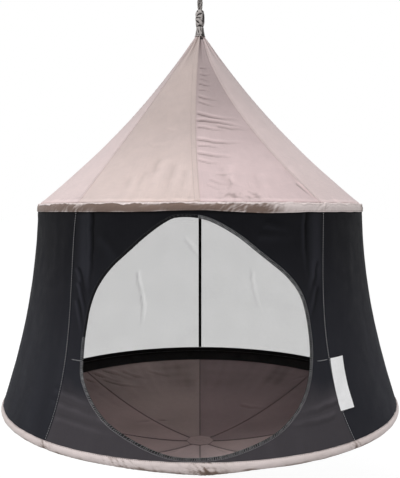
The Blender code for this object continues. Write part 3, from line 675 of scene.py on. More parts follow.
class Finishes:
    """Every material of the tent, made once."""

    def __init__(self) -> None:
        """Makes the materials."""
        # Painted light: the ramp makes the roof cloth lighter near the hoop, where it faces the lamp, and darker
        # towards the neck.
        painted_light_ramp = (0.05, 0.45, 1.26, 0.93)
        roof = WovenCloth("beige roof cloth", (0.66, 0.548, 0.515), (0.635, 0.53, 0.505), painted_light_ramp=painted_light_ramp, through=0.2)
        self.roof_warm = roof.build()
        # The front-right panel's cloth: a mauver tint of its own, and a steeper ramp that paints more shade towards
        # the neck.
        self.roof_mauve_shaded = replace(roof, name="mauve-tinted roof fabric with painted shade", colour=(0.645, 0.52, 0.52),
                                  second=(0.6, 0.485, 0.487), painted_light_ramp=(0.12, 0.62, 1.3, 0.72)).build()
        self.roof_pink = replace(roof, name="pink-beige roof cloth", colour=(0.7, 0.585, 0.575),
                                 second=(0.665, 0.555, 0.55), painted_light_ramp=(0.16, 0.66, 1.24, 0.96)).build()
        # The sleeve's brown hollow tone paints shade in its pockets under the ridge and on its underside.
        self.sleeve = replace(roof, name="beige sleeve fabric with painted brown shade", colour=(0.76, 0.665, 0.65),
                              second=(0.69, 0.6, 0.58), painted_shade_tone=(0.27, 0.215, 0.18), painted_light_ramp=None,
                              through=0.0).build()
        # The neck's near-black hollow tone paints shade in its folds; its crest light paints highlight on their
        # ridges.
        self.neck = replace(roof, name="grey neck fabric with painted shade", colour=(0.54, 0.5, 0.485), second=(0.42, 0.388, 0.375),
                            crest_light=1.45, painted_shade_tone=(0.07, 0.066, 0.064), thread_pitch=0.0007,
                            crumple=0.0006, painted_light_ramp=None, through=0.0).build()
        # The wall cloth's ramp paints it darker under the upper hoop and lighter towards the foot, and its crest light
        # paints highlight on its folds.
        wall = WovenCloth("black side-wall fabric with painted light", (0.0165, 0.0168, 0.0215), (0.018, 0.0185, 0.0232),
                          crumple=0.0008, sheen=0.0, specular=0.08, painted_shade_tone=(0.55, 0.55, 0.55),
                          crest_light=2.4, painted_light_ramp=(0.02, 0.55, 0.42, 1.22), painted_glow=(0.049, 0.0445, 0.05),
                          painted_glow_from=0.52, painted_glow_to=0.61)
        self.wall = replace(wall, painted_glow=None).build()
        # The door panel's cloth is painted paler low down, as glow of the lit floor shining through it.
        self.wall_front = replace(wall, name="black door-panel fabric with painted glow").build()
        # The band keeps the wall cloth's painted shade and highlight on its ripples.
        self.band = replace(wall, name="black band cloth", colour=(0.012, 0.012, 0.0122),
                            second=(0.015, 0.015, 0.0153), painted_glow=None, painted_light_ramp=None).build()
        self.webbing = WovenCloth("black webbing", (0.006, 0.006, 0.0065), (0.008, 0.008, 0.0082),
                                  thread_pitch=0.0016, weave_depth=0.0003, sheen=0.0, specular=0.1).build()
        # The floor cloths are lit and shaded copies of one cloth: painted light at the front by the doorway, painted
        # shade at the rear, and, except at the front, a ramp that paints shade towards the rim.
        floor = WovenCloth("floor fabric painted in brown-grey shade", (0.44, 0.366, 0.35), (0.4, 0.333, 0.32),
                           roughness=0.7, specular=0.15, sheen=0.1, painted_shade_tone=(0.5, 0.48, 0.47), crumple=0.001,
                           painted_light_ramp=(0.28, 0.62, 1.2, 0.78))
        self.floor_rear_left_shaded = floor.build()
        self.floor_rear_right_shaded = replace(floor, name="floor fabric painted in deep mauve shade", colour=(0.325, 0.258, 0.262),
                                   second=(0.295, 0.234, 0.239)).build()
        self.floor_side_half_lit = replace(floor, name="floor fabric painted half lit", colour=(0.5, 0.41, 0.4),
                                  second=(0.45, 0.366, 0.36)).build()
        self.floor_front_lit = replace(floor, name="floor fabric painted lit by the doorway", colour=(0.74, 0.62, 0.61),
                                   second=(0.68, 0.565, 0.56), painted_light_ramp=None).build()
        self.label = WovenCloth("white satin", (0.98, 0.98, 0.985), (0.95, 0.95, 0.96), thread_pitch=0.0005,
                                weave_depth=0.00005, crumple=0.0005, roughness=0.5,
                                painted_shade_tone=(0.92, 0.92, 0.92)).build()
        self.net = Net("grey window net", (0.2, 0.2, 0.2)).build()
        self.rope = TwistedCord("grey and beige cord", (0.12, 0.112, 0.108), (0.34, 0.315, 0.3)).build()
        self.hook = PlatedSteel("zinc-plated steel", (0.56, 0.57, 0.58)).build()
        self.spigot = PlatedSteel("plain steel rod", (0.48, 0.47, 0.46), 0.38).build()
        self.tube = CoatedTube("grey powder coat", (0.1, 0.1, 0.105)).build()
        self.pale_thread = SewingThread("light grey thread", (0.4, 0.4, 0.41)).build()
        self.grey_thread = SewingThread("mid grey thread", (0.12, 0.12, 0.125)).build()
        self.black_thread = SewingThread("black thread", (0.012, 0.012, 0.013)).build()
        self.beige_thread = SewingThread("beige thread", (0.56, 0.47, 0.45)).build()
        self.hem_thread = SewingThread("grey-brown thread", (0.22, 0.19, 0.18)).build()
        self.dark_thread = SewingThread("dark brown thread", (0.05, 0.042, 0.042)).build()


# The tent's cut

@dataclass(frozen=True)
class Seam:
    """A seam's angle, how far it is drawn sideways halfway up, and how much more at the wall's foot."""

    angle: float
    roof_drift: float = 0.0
    wall_drift: float = 0.0
    wall_growth: float = 0.0


SEAMS = (
    Seam(-180.0), Seam(-130.0), Seam(-85.0), Seam(-39.5, -0.04, 0.0105, 0.065), Seam(0.0, -0.015),
    Seam(39.5, -0.036, -0.037, -0.056), Seam(85.0), Seam(130.0), Seam(180.0),
)
SECTORS = (
    "rear_left", "side_rear_left", "side_front_left", "front_left",
    "front_right", "side_front_right", "side_rear_right", "rear_right",
)
CLOTH = 0.0012
SEAM_GAP = 0.0006


@dataclass(frozen=True)
class Crease:
    """A fold in a cloth: where it starts and how it runs, in metres across and along."""

    across: float
    along: float
    run_across: float
    run_along: float
    depth: float
    width: float = 0.006
    sway: float = 0.0

    def drop(self, across: float, along: float) -> float:
        """How far it moves the cloth out (or in, below 0) at a place."""
        length = hypot(self.run_across, self.run_along)
        unit = (self.run_across / length, self.run_along / length)
        from_start = (across - self.across, along - self.along)
        travelled = (from_start[0] * unit[0] + from_start[1] * unit[1]) / length
        if not -0.08 < travelled < 1.15:
            return 0.0
        aside = -from_start[0] * unit[1] + from_start[1] * unit[0]
        if abs(aside) > 6 * self.width + abs(self.sway):
            return 0.0
        aside += self.sway * sin(pi * travelled)
        aside += 0.6 * self.width * noise.noise(Vector((travelled * length / 0.03, self.along * 50, self.across * 50)))
        strength = eased((travelled + 0.08) / 0.12) * eased((1.15 - travelled) / 0.95)
        valley = -bell(aside, self.width)
        ridge = 0.7 * bell(aside - 2.0 * self.width, 1.3 * self.width)
        return self.depth * strength * (valley + ridge)


def creases(*rows: tuple[float, ...]) -> tuple[Crease, ...]:
    """Makes creases from rows of their sizes, in millimetres."""
    return tuple(Crease(*(value / 1000 for value in row)) for row in rows)


@dataclass(frozen=True)
class Run:
    """The cut of the roof or of the wall, from its upper-hoop end to its other end."""

    start: Pair
    end: Pair
    flare: float
    hollow: float
    side: int

    @property
    def length(self) -> float:
        """The straight length of the cloth."""
        return hypot(self.end[0] - self.start[0], self.end[1] - self.start[1])

    def radius(self, along: float) -> float:
        """The radius at a seam."""
        return self.start[0] + (self.end[0] - self.start[0]) * along - self.flare * bow(along)

    def height(self, along: float) -> float:
        """The height at a share of the way along."""
        return self.start[1] + (self.end[1] - self.start[1]) * along

    def share(self, z: float) -> float:
        """The share of the way along at a height."""
        return (z - self.start[1]) / (self.end[1] - self.start[1])

    def outward(self, along: float) -> Pair:
        """The way out of the cloth: how much outwards and how much upwards."""
        step = 0.01
        run = self.radius(along + step) - self.radius(along - step)
        rise = self.height(along + step) - self.height(along - step)
        length = hypot(run, rise)
        return self.side * rise / length, -self.side * run / length


@dataclass
class Surface:
    """The outside of the roof or of the wall, with its folds; the seed tells them from another surface's."""

    run: Run
    seams: tuple[Seam, ...]
    seed: float

    def drift(self, seam: Seam, along: float) -> float:
        """How far a seam is drawn sideways, before it fades towards its ends."""
        raise NotImplementedError

    def fold(self, angle: float, along: float, edge: float) -> Pair:
        """How far the cloth stands out of its cut, and how hollow it is there.

        Args:
            angle: the place round the tent.
            along: the share of the way along.
            edge: the distance to the nearest seam.

        Returns:
            A distance, below 0 where the cloth is pressed in, and from -1 on a ridge to 1 in a hollow, which paints
            highlight on ridges and shade in hollows.
        """
        raise NotImplementedError

    def seam_angle(self, seam: Seam, along: float) -> float:
        """A seam's angle at a share of the way along."""
        return seam.angle + degrees(self.drift(seam, along) * bow(along) / self.run.radius(along))

    def between(self, angle: float, along: float) -> tuple[float, float, float]:
        """The seams on either side of a place and its share of the way between them."""
        for left, right in zip(self.seams, self.seams[1:]):
            start, end = self.seam_angle(left, along), self.seam_angle(right, along)
            if start <= angle <= end:
                return start, end, (angle - start) / (end - start)
        return self.seams[0].angle, self.seams[-1].angle, 0.0

    def relief(self, angle: float, along: float) -> Pair:
        """How far the cloth stands out of its cut at a place, and how hollow it is there."""
        start, end, _ = self.between(angle, along)
        edge = min(angle - start, end - angle) * radians(self.run.radius(along))
        return self.fold(angle, along, max(edge, 0.0))

    def at(self, angle: float, along: float, lift: float = 0.0, stand: float | None = None) -> Vector:
        """A place on the cloth's outside.

        Args:
            angle: the place round the tent.
            along: the share of the way along.
            lift: how far above the cloth's outside.
            stand: how far the cloth stands out there, if it is known.

        Returns:
            The place.
        """
        _, _, share = self.between(angle, along)
        drawn = self.run.radius(along) - self.run.hollow * sin(pi * share) ** 2 * bow(along)
        out, up = self.run.outward(along)
        rise = CLOTH + lift + (self.relief(angle, along)[0] if stand is None else stand)
        return around(drawn + rise * out, angle, self.run.height(along) + rise * up)

    def way_out(self, place: Vector) -> Vector:
        """The way out of the cloth near a place."""
        out, up = self.run.outward(self.run.share(place.z))
        level = Vector((place.x, place.y, 0.0)).normalized()
        return level * out + Vector((0.0, 0.0, up))

    def knot(self, angle: float, along: float, thickness: float = CLOTH) -> Knot:
        """A grid point on the cloth."""
        stand, hollow = self.relief(angle, along)
        if thickness < CLOTH:
            stand, hollow = 0.3 * stand, 0.12 * hollow
        length = self.run.length * along
        return Knot(
            self.at(angle, along, 0.0, stand), self.at(angle, along, -thickness, stand),
            radians(angle) * self.run.radius(0.0), length, min(max(hollow, -1.0), 2.0),
        )

    def ends(self, index: int, along: float) -> Pair:
        """The angles of a panel's two edges, half a gap inside its seams."""
        margin = degrees(SEAM_GAP / 2 / self.run.radius(along))
        left, right = self.seams[index], self.seams[index + 1]
        return self.seam_angle(left, along) + margin, self.seam_angle(right, along) - margin

    def panel(self, index: int, columns: int, rows: int, thickness: float = CLOTH) -> Grid:
        """The grid of the panel between two neighbouring seams.

        Args:
            index: the panel's number from the left.
            columns: how many columns of faces.
            rows: how many rows of faces.
            thickness: the cloth's thickness.

        Returns:
            Rows of knots.
        """
        grid = []
        for r in range(rows + 1):
            along = r / rows
            start, end = self.ends(index, along)
            grid.append([self.knot(start + (end - start) * c / columns, along, thickness) for c in range(columns + 1)])
        return grid

    def panel_area(self, index: int, strips: int = 60) -> tuple[float, float, float]:
        """A panel's greatest width, its length and its flat area, summed over narrow strips."""
        left, right = self.seams[index], self.seams[index + 1]
        widest = length = area = 0.0
        for i in range(strips):
            low, middle, high = i / strips, (i + 0.5) / strips, (i + 1) / strips
            width = radians(self.seam_angle(right, middle) - self.seam_angle(left, middle)) * self.run.radius(middle)
            depth = hypot(self.run.height(high) - self.run.height(low), self.run.radius(high) - self.run.radius(low))
            widest = max(widest, width)
            length += depth
            area += width * depth
        return widest, length, area

    def strip(self, seam: Seam, low: float, high: float, left: float, right: float, lift: float,
              thickness: float, rows: int = 160, inside: bool = False) -> Grid:
        """The grid of a narrow strip that follows a seam.

        Args:
            seam: the seam.
            low: the share of the way along where it starts.
            high: and where it ends.
            left: how far left of the seam it reaches, below 0.
            right: how far right of it.
            lift: how high it lies over the cloth's outside.
            thickness: the strip's thickness.
            rows: how many rows of faces.
            inside: whether it lies inside the cloth.

        Returns:
            Rows of knots.
        """
        grid = []
        columns = 6
        for r in range(rows + 1):
            along = low + (high - low) * r / rows
            radius = self.run.radius(along)
            room = min(1.0, radius / 0.1)
            row = []
            for c in range(columns + 1):
                share = c / columns
                aside = (left + (right - left) * share) * room
                angle = self.seam_angle(seam, along) + degrees(aside / radius)
                edge = bell(min(share, 1 - share), 0.05) * 0.4
                over = lift + thickness * (1.0 if inside else 1 - edge)
                stand = 0.0 if inside else None
                # Painted shade along the strip's edges, where it meets the cloth below.
                row.append(Knot(self.at(angle, along, over, stand), self.at(angle, along, lift, stand),
                                aside, self.run.length * along, 0.35 * edge))
            grid.append(row)
        return grid

    def seam_line(self, seam: Seam, low: float, high: float, aside: float, lift: float,
                  steps: int = 260) -> list[Vector]:
        """Points along a seam, moved sideways and lifted off the cloth."""
        line = []
        for i in range(steps + 1):
            along = low + (high - low) * i / steps
            radius = self.run.radius(along)
            moved = aside * min(1.0, radius / 0.1)
            line.append(self.at(self.seam_angle(seam, along) + degrees(moved / radius), along, lift))
        return line


UPPER_HOOP_Z = -0.903
LOWER_HOOP_Z = -1.6287
UPPER_HOOP_RADIUS = 0.597
LOWER_HOOP_RADIUS = 0.735
SLEEVE_RADIUS = 0.0145
NECK_TOP_Z = UPPER_HOOP_Z + 0.6945
NECK_FOOT_Z = UPPER_HOOP_Z + 0.6575
ROPE_BORE = 0.0104

ROOF_RUN = Run((0.6027, -0.8893), (0.0181, -0.247), 0.042, 0.007, 1)
WALL_RUN = Run((0.6107, -0.9087), (0.7407, -1.615), 0.024, 0.007, -1)
ROOF_FOLDING = Folding("roof_fold", ROOF_RUN.start[1])
WALL_FOLDING = Folding("wall_fold", WALL_RUN.end[1])


class RoofSurface(Surface):
    """The roof, gathered at its neck and puckered at the hoop."""

    CREASES = creases(
        (0, 672, 35, 4, 2.6, 3.4, 3), (0, 635, 48, 6, 3, 3.4, 4), (-2, 606, 40, -10, 2.2, 3.2, -3),
        (-3, 580, 55, -4, 3, 3.6, 5), (-4, 545, 45, -12, 2.2, 3.4, -3), (-5, 507, 75, -14, 3.4, 3.8, 5),
        (-5, 478, 70, -22, 2.8, 3.6, 4), (-7, 412, 150, -24, 4, 4.4, 7), (-7, 378, 180, -36, 4.2, 4.6, -6),
        (60, 350, 120, -14, 2.6, 5, 4), (-7, 345, 100, -16, 3, 4, 4), (-7, 278, 160, -12, 3.4, 4.4, 6),
        (-6, 250, 85, -16, 2.4, 3.8, -3), (-6, 212, 125, -16, 3, 4.2, 4), (-5, 180, 75, -18, 2.4, 4, 3),
        (330, 80, 62, -66, 3, 4.5, 2), (30, 92, 70, -20, 1.4, 4.2, 6), (22, 70, 60, -24, 1.4, 4, 5),
        (50, 118, 60, 6, 1.1, 4.5, 5), (90, 98, 40, -40, 1.4, 4.6, 7), (-115, 330, 60, -10, 0.6, 6, 4),
        (-170, 250, 90, 12, 0.6, 7, 6),
    )
    SOFT_FOLDS = creases(
        (-132, 190, -34, -180, 2.2, 12, 6), (-176, 130, -22, -125, 1.8, 11, 4), (-82, 160, -18, -155, 2, 11, 4),
        (-46, 130, -10, -125, 1.6, 10, 3), (-225, 110, -30, -105, 1.4, 12, 4), (300, 150, 50, -80, 1.4, 11, 4),
        (70, 150, 30, -120, 1.6, 14, 6), (180, 120, 30, -100, 1.4, 13, 6),
    )

    def drift(self, seam: Seam, along: float) -> float:
        """How far a seam is drawn sideways, before it fades towards its ends."""
        return seam.roof_drift

    def fold(self, angle: float, along: float, edge: float) -> Pair:
        """How far the roof stands out of its cut, and how hollow it is there, which paints its shade and highlight."""
        radius = self.run.radius(along)
        length = self.run.length * along

        def wave(across_pitch: float, along_pitch: float, seed: float = 0.0) -> float:
            """Noise over the roof."""
            return ripple(0.6, angle, length, across_pitch, along_pitch, self.seed + seed)

        broad = 0.003 * wave(0.17, 0.3) * bow(along)
        small = 0.0008 * wave(0.045, 0.08, 3.1) * min(1.0, radius / 0.2)
        stand = (broad + small) * (0.35 + 0.65 * eased(edge / 0.03))
        hollow = -0.12 * wave(0.16, 0.12, 14.0)
        gather = eased((along - 0.72) / 0.28)
        turn = angle + 9.0 * wave(0.4, 0.2, 9.0)
        pleats = cos(radians(15 * turn)) + 0.6 * cos(radians(26 * turn + 40))
        sharp = eased(0.5 + 0.5 * pleats)
        thin = eased((pleats - 0.9) / 0.6) * eased((along - 0.9) / 0.08)
        # Painted shade in the pleat valleys at the neck and painted highlight between them.
        stand -= gather * 0.0042 * sharp
        hollow += gather * (1.1 * sharp - 0.35) + 0.9 * thin
        # A dent under the cuff's right side, painted dark as its shadow.
        pit = bell((angle - 20) * radians(radius), 0.0066) * bell(length - self.run.length + 0.011, 0.008)
        stand -= 0.006 * pit
        hollow += 4.0 * pit
        level = 0.007 + 0.004 * wave(0.036, 1.0, 5.0)
        height = 0.75 + 0.55 * wave(0.02, 1.0, 6.0)
        front = 1.0 + 0.8 * bell(angle - 10.0, 18.0)
        hem = bell(length - level, 0.005) * eased(length / 0.004)
        # Painted highlight on the hem's ridge, and painted shade in pockets just above it.
        stand += 0.0014 * height * hem * front
        hollow -= 0.6 * hem * height
        above = bell(length - level - 0.01, 0.005)
        hollow += 0.4 * above * front * max(0.0, wave(0.014, 1.0, 7.0) + 0.2)
        pucker = cos(2 * pi * length / 0.019 + 5 * wave(0.5, 0.08, 7.0))
        stand += 0.0005 * pucker * exp(-edge / 0.01) * bow(along)
        if abs(angle) < 60:
            across = radians(angle) * radius
            crease = sum(mark.drop(across, length) for mark in self.CREASES)
            soft = sum(mark.drop(across, length) for mark in self.SOFT_FOLDS)
            stand += crease + soft
            # Painted shade in the crease valleys and painted highlight on their ridges.
            hollow -= crease / 0.0028 + soft / 0.006
            # Painted shade over a dented, mottled patch low on the front-right panel.
            shade_patch = eased((across - 0.035) / 0.05) * eased((0.215 - across) / 0.05)
            shade_patch *= eased((0.125 - length - 0.25 * across) / 0.05)
            mottle = wave(0.024, 0.02, 17.0) + 0.6 * wave(0.011, 0.009, 19.0)
            stand += 0.001 * shade_patch * mottle
            hollow += shade_patch * (0.18 + 0.85 * max(mottle, -0.2))
        return stand, hollow


class WallSurface(Surface):
    """The wall, hung from the upper hoop's sleeve and held by the lower one's."""

    CREASES = creases(
        (-350, 12, -6, 250, 5, 6, 4), (346, 12, 4, 200, 4, 6, -3), (-405, 190, 34, 105, 3.4, 5.5, 4),
        (-400, 235, 36, 110, 3.4, 5, 3), (-404, 290, 30, 100, 2.6, 5.5, 3), (-300, 80, 80, 120, 1.2, 12, 8),
        (392, 170, -40, 120, 3, 7, 4), (388, 250, -34, 110, 2.4, 6.5, 3), (200, 40, 110, 30, 1.8, 10, 6),
        (180, 75, 120, 10, 1.4, 9, 5), (-480, 560, 200, 30, 1, 6, 4), (-490, 595, 240, 28, 1, 6, 4),
        (-470, 635, 260, 24, 1, 6, 4), (-300, 610, 170, 40, 1.4, 7, 4), (470, 600, -200, 20, 1.4, 7, 4),
        (430, 640, -180, 10, 1.2, 7, 3),
    )
    NET_FOLDS = creases(
        (-1700, 310, -130, 160, 3, 5, 6), (-1790, 430, -120, 170, 2.6, 5, -4), (-1880, 150, -150, 120, 1.4, 6, 6),
        (1990, 130, 120, -90, 1.8, 5, 4), (1760, 300, 80, 220, 1.4, 6, 6),
    )

    def drift(self, seam: Seam, along: float) -> float:
        """How far a seam is drawn sideways, before it fades towards its ends."""
        return seam.wall_drift + seam.wall_growth * (along - 0.5)

    def fold(self, angle: float, along: float, edge: float) -> Pair:
        """How far the wall stands out of its cut, and how hollow it is there, which paints its shade and highlight."""
        radius = self.run.radius(along)
        drop = self.run.length * along
        held = eased(along / 0.12) * eased((1 - along) / 0.08)
        broad = 0.0038 * ripple(0.65, angle, drop, 0.15, 0.55, self.seed) * held
        upright = 0.0018 * ripple(0.65, angle, drop, 0.05, 0.5, self.seed + 4.0) * eased((0.75 - along) / 0.6)
        small = 0.0005 * ripple(0.65, angle, drop, 0.035, 0.05, self.seed + 3.1)
        stand = (broad + upright * held + small) * eased(edge / 0.045)
        hollow = -0.18 * ripple(0.65, angle, drop, 0.06, 0.45, self.seed + 4.0) * eased(edge / 0.02)
        scallop = ripple(0.6, angle, drop, 0.016, 0.04, self.seed + 5.0)
        stand += 0.0012 * scallop * bell(drop - 0.022, 0.01)
        # Painted shade along the wall's top, just under the sleeve.
        hollow += 0.9 * bell(drop - 0.012, 0.005)
        foot = self.run.length - drop
        stand += 0.0014 * ripple(0.7, angle, drop, 0.02, 0.04, self.seed + 8.0) * exp(-foot / 0.016)
        if abs(angle) < 60:
            across = radians(angle) * radius
            crease = sum(mark.drop(across, drop) for mark in self.CREASES) * eased(edge / 0.012)
            stand += crease
            # Painted shade in the crease valleys and painted highlight on their ridges.
            hollow -= crease / 0.003
            # Painted highlight on a strip beside each front seam, high on the wall.
            band = bell(abs(across) - 0.386, 0.024) * eased((0.27 - drop) / 0.1)
            hollow -= 1.0 * band
        elif abs(angle) > 125:
            across = radians(angle) * radius
            hollow -= 7 * sum(mark.drop(across, drop) for mark in self.NET_FOLDS) / 0.003
        return stand, hollow


# Assemblies

@dataclass
class SnapHook:
    """The steel snap hook that the tent hangs from."""

    finishes: Finishes
    nodes: tuple[str, ...] = ("carabiner_body", "carabiner_gate", "carabiner_pin")

    def build(self) -> None:
        """Dresses the hook's own parts."""
        for name in self.nodes:
            dress_node(name, self.finishes.hook)


def dress_node(name: str, finish: Finish) -> None:
    """Gives one of the frame's own parts a better finish."""
    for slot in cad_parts[name].material_slots:
        slot.material = finish


@dataclass
class Hanger:
    """The twisted rope loop, the crumpled cover round it and the cuff at the roof's neck."""

    SLASHES = (
        (-45, -0.1675, 24, -0.1605, 0.0024, 1), (-68, -0.1755, 8, -0.178, 0.0022, 0.75),
        (50, -0.163, 47, -0.199, 0.003, 1), (-60, -0.186, -10, -0.1975, 0.0024, 0.9),
        (-22, -0.205, 22, -0.2085, 0.0026, 1), (-80, -0.146, -34, -0.1525, 0.0022, 0.9),
        (20, -0.15, 56, -0.1545, 0.0024, 0.8), (-5, -0.183, 34, -0.1905, 0.0016, 0.45),
        (-44, -0.214, -16, -0.234, 0.0016, 0.7), (2, -0.212, 20, -0.23, 0.0015, 0.65),
        (30, -0.216, 46, -0.244, 0.0018, 0.8), (-70, -0.22, -40, -0.242, 0.0016, 0.6),
    )
    DEGREE = 0.00029

    finishes: Finishes
    bar_z: float = -0.068
    rope_radius: float = 0.0045
    eye_radius: float = 0.0088
    strand_offset: float = 0.0052
    rope_foot_z: float = NECK_FOOT_Z - 0.055
    turns: float = 1.25
    lay: float = 0.03

    def build(self) -> None:
        """Builds the rope, its cover and the cuff."""
        self.rope()
        self.cover()
        self.cuff()

    def leg(self, side: int, steps: int) -> list[Vector]:
        """One leg of the loop, from the hook's bar down to its tail.

        Args:
            side: 1 for the leg that starts behind the bar, -1 for the other.
            steps: how many steps it takes.

        Returns:
            Points down the leg.
        """
        points = []
        for i in range(steps + 1):
            share = i / steps
            narrowing = eased(share * 6)
            offset = self.eye_radius + (self.strand_offset - self.eye_radius) * narrowing
            turn = 2 * pi * self.turns * share * eased(share * 5)
            z = self.bar_z + (self.rope_foot_z - self.bar_z) * share
            points.append(Vector((side * offset * sin(turn), side * offset * cos(turn), z)))
        return points

    def path(self) -> list[Vector]:
        """The whole loop's middle line."""
        foot = Vector((0, 0, self.rope_foot_z))
        down, up = self.leg(1, 230), self.leg(-1, 230)[::-1]
        across = down[-1] - foot
        under = [pi * i / 12 for i in range(1, 12)]
        over = [pi * i / 28 for i in range(1, 28)]
        return (down + [foot + across * cos(turn) - Vector((0, 0, self.strand_offset * sin(turn))) for turn in under]
                + up + [Vector((0, -self.eye_radius * cos(turn), self.bar_z + self.eye_radius * sin(turn)))
                        for turn in over])

    def rope(self) -> None:
        """Sweeps a three-strand rope along the loop."""
        line = self.path()
        count, sides = len(line), 24
        tangents = [(line[(i + 1) % count] - line[i - 1]).normalized() for i in range(count)]
        normal = Vector((1, 0, 0))
        normals = []
        for tangent in tangents:
            normal = (normal - tangent * normal.dot(tangent)).normalized()
            normals.append(normal.copy())
        closing = (normal - tangents[0] * normal.dot(tangents[0])).normalized()
        slip = atan2(normals[0].cross(closing).dot(tangents[0]), normals[0].dot(closing))
        length = sum((line[(i + 1) % count] - line[i]).length for i in range(count))
        laid = 2 * pi * round(length / self.lay)
        rows, gone = [], 0.0
        for i in range(count + 1):
            at = i % count
            share = gone / length
            twist = (laid - slip) * share
            aside = tangents[at].cross(normals[at])
            free = eased((line[at].z + 0.148) / 0.01) * eased((-0.098 - line[at].z) / 0.015)
            row = []
            for side in range(sides + 1):
                turn = 2 * pi * side / sides
                lobe = abs(cos(1.5 * (turn - twist)))
                radius = self.rope_radius * (0.8 + 0.2 * lobe ** 0.7) * (1 + 0.16 * free)
                spoke = normals[at] * cos(turn) + aside * sin(turn)
                # Painted shade in the grooves between the strands.
                hollow = 0.9 * (1 - lobe) ** 3
                lay_across = (turn - twist) / (2 * pi) * 3
                row.append(Knot(line[at] + spoke * radius, line[at], lay_across, gone * 0.4, hollow))
            rows.append(row)
            gone += (line[(at + 1) % count] - line[at]).length
        piece = loop_object("hanger_rope", rows, self.finishes.rope)
        hand_over(piece, Body.CANOPY, ("hanging_rope_loop",))

    def tube(self, name: str, profile: list[Pair], rows: int, columns: int,
             crumple: Callable[[float, float], Pair], stands_for: str) -> None:
        """A crumpled cloth tube round the rope.

        Args:
            name: the piece's name.
            profile: (radius, height) points of its outside, from the top down.
            rows: how many rows of faces.
            columns: how many columns of faces.
            crumple: how far it stands out at a (turn, height), and how hollow it is there.
            stands_for: the frame's node that it takes the place of.
        """
        steps = [0.0]
        for near, far in zip(profile, profile[1:]):
            steps.append(steps[-1] + hypot(far[0] - near[0], far[1] - near[1]))
        grid = []
        for r in range(rows + 1):
            gone = steps[-1] * r / rows
            k = next(i for i in range(1, len(steps)) if gone <= steps[i] + 1e-9)
            share = (gone - steps[k - 1]) / (steps[k] - steps[k - 1])
            radius, z = (start + (end - start) * share for start, end in zip(profile[k - 1], profile[k]))
            row = []
            for c in range(columns + 1):
                angle = 360.0 * c / columns
                fold, hollow = crumple((angle + 180.0) % 360.0 - 180.0, z)
                stand = fold * eased((radius - ROPE_BORE - 0.0008) / 0.002)
                outer = max(radius + stand, ROPE_BORE + 0.0009)
                inner = max(outer - 0.001, ROPE_BORE)
                row.append(Knot(around(outer, angle, z), around(inner, angle, z), radians(angle) * 0.016, gone,
                                min(max(hollow, -1.0), 1.6)))
            grid.append(row)
        piece = sheet_object(name, grid, self.finishes.neck, ring=True)
        hand_over(piece, Body.CANOPY, (stands_for,))

    @staticmethod
    def slant(turn: float, z: float, start: float, pitch: float, width: float) -> float:
        """A slanting valley that winds round the cover.

        Args:
            turn: the place round the cover, in degrees.
            z: the height.
            start: the height of the valley at turn 0.
            pitch: how far it climbs in one turn.
            width: half its width.

        Returns:
            From 0 to 1, deepest in its middle.
        """
        level = (z - start - pitch * turn / 360.0) / abs(pitch)
        return bell((level - round(level)) * abs(pitch), width)

    def slash(self, turn: float, z: float) -> float:
        """How deep the cover's front slashes are at a place, from 0 to 1."""
        deepest = 0.0
        for mark in self.SLASHES:
            start, end = Vector((mark[0] * self.DEGREE, mark[1])), Vector((mark[2] * self.DEGREE, mark[3]))
            run = end - start
            place = Vector((turn * self.DEGREE, z)) - start
            share = min(max(place.dot(run) / run.length_squared, 0.0), 1.0)
            deepest = max(deepest, mark[5] * bell((place - run * share).length, mark[4] * (0.6 + 0.8 * bow(share))))
        return deepest

    def cover(self) -> None:
        """Builds the crumpled cover."""
        top, nip_z = UPPER_HOOP_Z + 0.758, NECK_TOP_Z + 0.0003
        span = top - nip_z
        profile = [
            (ROPE_BORE + 0.0009, top - 0.0002), (0.0118, top), (0.0134, top - 0.05 * span),
            (0.0156, top - 0.15 * span), (0.0168, top - 0.4 * span), (0.0164, top - 0.7 * span),
            (0.0148, top - 0.88 * span), (0.0132, nip_z),
        ]

        def crumple(turn: float, z: float) -> Pair:
            """The cover's folds, with painted shade in their valleys and at the nip, painted highlight on its bulges,
            and a darker patch on its right near the top.
            """
            whole = turn % 360.0
            behind = eased((abs(turn) - 70.0) / 20.0)
            fall = self.slant(whole, z, top - 0.011, -0.04, 0.0036)
            climb = self.slant(whole, z, top - 0.024, 0.052, 0.0032)
            soft = ripple(0.016, turn, z, 0.008, 0.011, 4.0)
            valley = max(self.slash(turn, z), behind * max(fall, 0.9 * climb))
            nip = bell(z - nip_z - 0.0015, 0.003)
            facet = abs(ripple(0.016, turn, z, 0.012, 0.014, 6.0))
            stand = 0.0012 * soft - 0.0036 * valley + 0.001 + 0.0016 * (0.3 - facet)
            side = 0.9 * bell(turn - 52.0, 16.0) * bell(z - top + 0.03, 0.022)
            return stand, 1.5 * valley + 0.6 * nip + 0.65 * facet - 0.5 * max(soft, 0.0) - 0.12 + side

        self.tube("rope_cover_cloth", profile, 64, 110, crumple, "rope_cover")

    def cuff(self) -> None:
        """Builds the gathered cuff, whose hem lies over the roof's neck."""
        span = NECK_TOP_Z - NECK_FOOT_Z
        profile = [
            (ROPE_BORE + 0.0009, NECK_TOP_Z - 0.0002), (0.0128, NECK_TOP_Z - 0.0004),
            (0.0142, NECK_TOP_Z - 0.1 * span), (0.015, NECK_TOP_Z - 0.4 * span),
            (0.0172, NECK_TOP_Z - 0.75 * span), (0.0196, NECK_FOOT_Z + 0.001), (0.0206, NECK_FOOT_Z - 0.0006),
        ]

